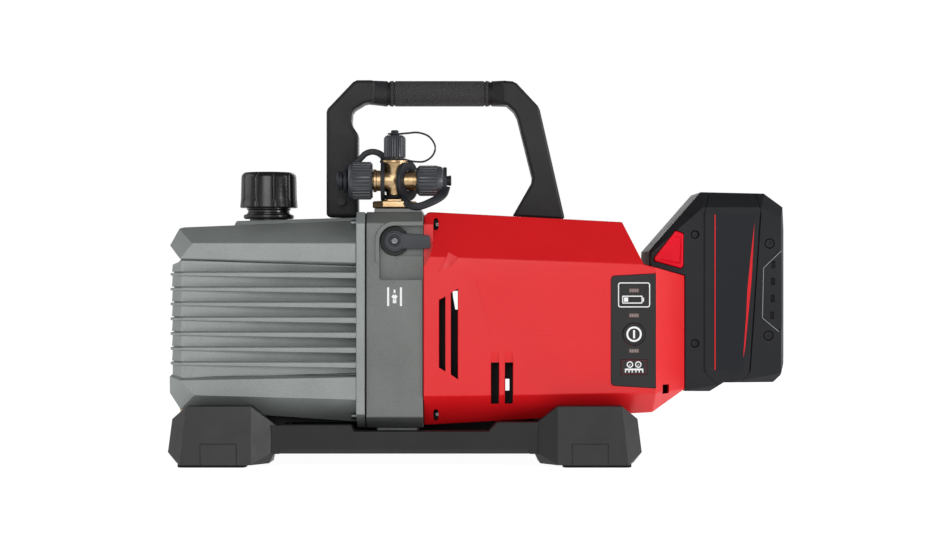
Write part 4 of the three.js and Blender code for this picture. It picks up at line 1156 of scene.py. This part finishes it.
for z, body, depth in ((LIGHTS[0], "battery_check", -65.25), (LIGHTS[1], "root", -64.95),
        (LIGHTS[2], "root", -64.95)):
    lens = drawn("light_lens", centred(6.9, 2.9, z, 0.6), depth, depth + 0.3)
    fit(lens, body, "panel_rubber", lens_brown)
    dots = printed("light_segments", [rounded(AXIS_X + at - 0.55, AXIS_X + at + 0.55, z - 1, z + 1, 0.2)
        for at in (-2.3, -0.8, 0.8, 2.3)], depth)
    fit(dots, body, "panel_rubber", lens_dots)
rim_red = flat_colour("red_key_outline", "#7c2126", 0.4)
key_outline = printed("mode_outline", [centred(16.6, 9.4, MODE_Z, 0.5)], MODE_FACE,
    [centred(16.1, 8.9, MODE_Z, 0.4)])
fit(key_outline, "mode", "panel_rubber", rim_red)

# ---- Battery pack ----
# Three glass-filled nylon shells screwed around the cells: the rail half that slides
# on the dock, a labelled middle band and the end shell with its cooling vent.
PACK_HALF, PACK_TOP, PACK_END = 41, 185.6, 209.7


def pack_form(name):
    return hulled(name, both_sides([
        (116.4, 36, 136.6), (116.4, 34, 145), (152, 34, PACK_TOP), (153, PACK_HALF, 175), (117, 40, 137.5),
        (118, 40, 144),
        (HOUSE_RIGHT + 0.3, PACK_HALF, 129.6), (HOUSE_RIGHT + 0.3, PACK_HALF, 50),
        (HOUSE_RIGHT + 0.3, 36, 49.2),
        (157.8, 36, 49.2), (195.4, 34, PACK_TOP - 1), (PACK_END - 1.5, 34, 175.2), (193, PACK_HALF, 175),
        (PACK_END - 3, 39.5, 168), (PACK_END - 3, 39.5, 62), (PACK_END, 28, 160), (PACK_END, 28, 68),
        (PACK_END - 3, 34, 59.7), (201, 34, 54.5), (196, PACK_HALF, 60), (158, PACK_HALF, 56)]))


RAIL_SEAM = [(159.5, 190), (153.9, 170.5), (153.9, 62.8), (163, 54), (168, 49), (168, 20)]
END_SEAM = [(188.5, 190), (189.8, 184.5), (192.9, 171.5), (185.5, 62.8), (179.3, 55.4), (176, 50),
            (176, 20)]
pack = pack_form("pack_form")
cut(pack, drawn("belly", [(157.8, 49), (167, 55.4), (201.5, 55.4), (207, 60.5), (220, 60.5), (220, 30),
    (157.8, 30)], -60, 60))
finish_edges(pack, 1.1, 3, 12)
SEAM = 0.35


def beyond(seam, shift, side):
    """Everything to one side of a seam between shells: side 1 is towards the pack's end."""
    far = 170 + side * 90
    return drawn("beyond_seam", [(x + shift, z) for x, z in seam] + [(far, 20), (far, 190)], -60, 60)


inner_case = twin(pack, "battery_rail_shell", Matrix.Identity(4))
cut(inner_case, beyond(RAIL_SEAM, -SEAM, 1))
clearance = house_form("housing_clearance", -0.5)
cut(inner_case, clearance, block("housing_side", 100, HOUSE_RIGHT + 0.5, -60, 60, 20, 128),
    block("rail_channel", 130, 147.4, -24.5, 24.5, 40, 126), block("rail_slots", 146.1, 150.5, -28.5, 28.5,
                                                                   40, 126))
middle_case = twin(pack, "battery_middle_shell", Matrix.Identity(4))
cut(middle_case, beyond(RAIL_SEAM, 0, -1), beyond(END_SEAM, -SEAM, 1))
end_case = pack
end_case.name = "battery_end_shell"
cut(end_case, beyond(END_SEAM, 0, -1))
room = block("cell_room", 157, 203.5, -33, 33, 60.5, 173)
room_copy = twin(room, "cell_room_end", Matrix.Identity(4))
for side in (-1, 1):
    for low_x, high_x, run in ((153.4, 153.4, 4.2), (185.9, 193.3, -3.4)):
        cut(middle_case, hulled("seam_chamfer", [
            (x, side * y, z) for x0, z in ((low_x, 62.8), (high_x, 171.5))
            for x, y in ((x0, 42), (x0, 39.6), (x0 + run, 41.02), (x0 + run, 42))]))
RELEASE = [(134.4, 159.2), (139.8, 157.1), (139.6, 134.7), (137.8, 133.3), (119.8, 138.3), (120.1, 141.2)]
RELEASE_MIDDLE = Vector((133, 144))


def grown(outline, middle, by):
    """The outline pushed out (or drawn in) by about that much all round."""
    return [tuple(Vector(p) + (Vector(p) - middle).normalized() * by) for p in outline]


for side in (-1, 1):
    cut(inner_case, drawn("release_pocket", grown(RELEASE, RELEASE_MIDDLE, 0.5), *span(side, 60, 31)))
RAIL_SCREWS = ((147.6, 156.4), (147.6, 82.1))
END_SCREWS = ((198.6, 150.2), (197.8, 87.4))
for shell, places, radius, floor_y in ((inner_case, RAIL_SCREWS, 2.9, 36.5), (end_case, END_SCREWS, 3.5,
        38)):
    for x, z in places:
        for side in (-1, 1):
            cut(shell, rod("screw_well", radius, floor_y * side, 43 * side, (x, 0, z), "Y", 32))
VENT = [(206.4, 145.2), (194.4, 133.6), (193.6, 99.4), (204.8, 90.1)]
for side in (-1, 1):
    cut(end_case, hulled("vent_recess", [(x, side * 44, z) for x, z in VENT] + [
        (VENT[0][0] + 3, side * 44, 145.2), (VENT[3][0] + 5, side * 44, 90.1)] + [
        (x, side * y, z) for (x, z), y in zip(grown(VENT, Vector((200, 120)), -1.2),
                                              (38.9, 40, 40, 38.9))] + [
        (210, side * 37.5, 144), (210, side * 37.5, 93)]))
    for x, z in ((201.3, 135.9), (201, 124.4), (200.7, 112.8), (200.4, 101.2)):
        cut(end_case, drawn("vent_square", rounded(x - 1.4, x + 1.4, z - 2.5, z + 2.5, 0.3),
            *span(side, 44, 36.5)))
cut(end_case, room_copy, block("gauge_seat", 207.7, 215, -6, 6, 138, 146))
cut(middle_case, room)
pack_nylon = moulded_plastic("pack_glass_filled_nylon", "#212225", "#1b1c1f", 0.48, shine=0.2)
for shell in (inner_case, middle_case, end_case):
    finish_edges(shell, 0.3, 2, 62)
fit(inner_case, "battery", "battery_plastic", pack_nylon, "battery_inner_case")
fit(middle_case, "battery", "battery_plastic", pack_nylon, "battery_middle_case")
fit(end_case, "battery", "battery_plastic", pack_nylon, "battery_end_case")
# Black blocks at the bottom of the vent squares: painted shade for the blind holes.
vent_shade_backing = one_mesh(*[block("vent_shade_backing", 197, 204.6, *span(side, 34, 35), 96, 141)
    for side in (-1, 1)])
fit(vent_shade_backing, "battery", "battery_plastic", pad_rubber)
pack_screws = one_mesh(
    *[cap_screw("pack_screw", (x, side * 39.6, z), 2.5, "Y", 3, side) for side in (-1, 1) for x,
      z in RAIL_SCREWS],
    *[cap_screw("pack_screw", (x, side * 39.9, z), 3.1, "Y", 3, side) for side in (-1, 1) for x,
      z in END_SCREWS])
screw_black = moulded_plastic("black_oxide_steel", "#18191b", "#121315", 0.35)
fit(pack_screws, "battery", "battery_plastic", screw_black)
label_film = flat_colour("label_polyester", "#0e1219", 0.42)
label_red = flat_colour("label_red_ink", "#d0141f", 0.4)
LABEL_FACE = -PACK_HALF
label = drawn("pack_label", [(160.6, 63.6), (180.2, 63.6), (188.9, 170.4), (160.6, 170.4)],
    LABEL_FACE - 0.1, LABEL_FACE + 0.4)
fit(label, "battery", "battery_plastic", label_film)
stripes = one_mesh(
    drawn("label_edge", [(160.9, 64), (161.6, 64), (161.6, 170), (160.9, 170)], LABEL_FACE - 0.1 - INK,
          LABEL_FACE),
    drawn("label_wedge", [(188.2, 165), (186.2, 126), (181.9, 80), (180.4, 72), (182.4, 100), (183.4, 120),
                          (185.4, 140)],
          LABEL_FACE - 0.1 - INK, LABEL_FACE))
fit(stripes, "battery", "battery_plastic", label_red)
# Light grey lines round the vent recess: a painted highlight along its edges.
vent_edge_highlight = flat_colour("painted_vent_edge_highlight", "#8b8e92", 0.3)
rims = []
for side in (-1, 1):
    for start, end in zip(VENT[:-1], VENT[1:]):
        run = (Vector(end) - Vector(start)).normalized() * 0.22
        rims.append(drawn("vent_rim", [(start[0] - run.y, start[1] + run.x),
            (start[0] + run.y, start[1] - run.x), (end[0] + run.y, end[1] - run.x),
            (end[0] - run.y, end[1] + run.x)], *span(side, PACK_HALF + 0.03, PACK_HALF - 0.4)))
vent_rims = one_mesh(*rims)
fit(vent_rims, "battery", "battery_plastic", vent_edge_highlight)

# ---- Release buttons and charge gauge ----
# Crimson thumb buttons, one each side of the rail shell, with a dished triangular
# face; and the gauge key on the pack's end.
release_red = moulded_plastic("crimson_release_acetal", "#e00523", "#d8041f", 0.34, 0.8, 0.02, 0.15)
for side, word in ((-1, "front"), (1, "rear")):
    button = drawn(f"release_thumb_{word}", RELEASE, *span(side, 41.3, 36))
    finish_edges(button, 1.0, 3, 50)
    dish = hulled("thumb_dish", [(x, side * 42, z) for x, z in grown(RELEASE, RELEASE_MIDDLE,
        -2.0)] + [(x, side * 40.6, z) for x, z in grown(RELEASE, RELEASE_MIDDLE, -4.4)])
    cut(button, dish)
    finish_edges(button, 0.35, 3, 20)
    fit(button, f"release_{word}", "release_red", release_red, f"release_button_{word}")
gauge_key = drawn("charge_gauge_key", [(-5.6, 138.4), (5.6, 138.4), (5.6, 145.6), (-5.6, 145.6)], 208.7,
    209.5, "X")
finish_edges(gauge_key, 0.25)
fit(gauge_key, "charge_gauge", "panel_rubber", panel_film, "charge_gauge_button")
gauge_lights = one_mesh(*[drawn("gauge_light", [(y - 0.9, 149), (y + 0.9, 149), (y + 0.9, 151),
    (y - 0.9, 151)], 209.3, 209.66, "X") for y in (-4.8, -1.6, 1.6, 4.8)])
fit(gauge_lights, "battery", "battery_plastic", lens_dots)

# ---- Parts kept as they come from the machine shop and the winder ----
# Shafts, rings, stator, fan, cells and seals inside the shells, and the small
# fittings on the tank's end: plain turned and stacked parts in their own finishes.
sand_iron = painted_casting("bare_grey_iron", "#6c6e6f", "#5a5c5e", 0.5)
winding = moulded_plastic("enamelled_windings", "#a8622c", "#7e4420", 0.4, 0.9, 0.1)
board_green = flat_colour("solder_mask_board", "#174a2b", 0.4)
cell_blue = flat_colour("cell_heatshrink", "#2d6f9c", 0.35)
oil_glass, tree, shader = new_material("sight_window_polycarbonate")
wire(tree, shader, {"Base Color": linear("#d8c48a"), "Transmission Weight": 0.85, "Roughness": 0.06,
    "IOR": 1.58})
for material, names in {
    zinc_plate: "pump_shaft motor_rotor drive_coupling valve_plug",
    sand_iron: "first_stage_ring second_stage_ring stage_divider pump_end_plate "
               "first_stage_rotor second_stage_rotor motor_end_bell",
    winding: "motor_stator", board_green: "control_board", cell_blue: "cell_pack",
    brass: "drain_valve drain_washer drain_cap dock_terminals",
    pad_rubber: "tank_gasket shaft_seal oil_cap_seal", oil_glass: "sight_glass",
    black_nylon: "sight_glass_bezel cooling_fan battery_dock",
}.items():
    for name in names.split():
        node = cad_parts[name]
        node.data.materials.clear()
        node.data.materials.append(material)
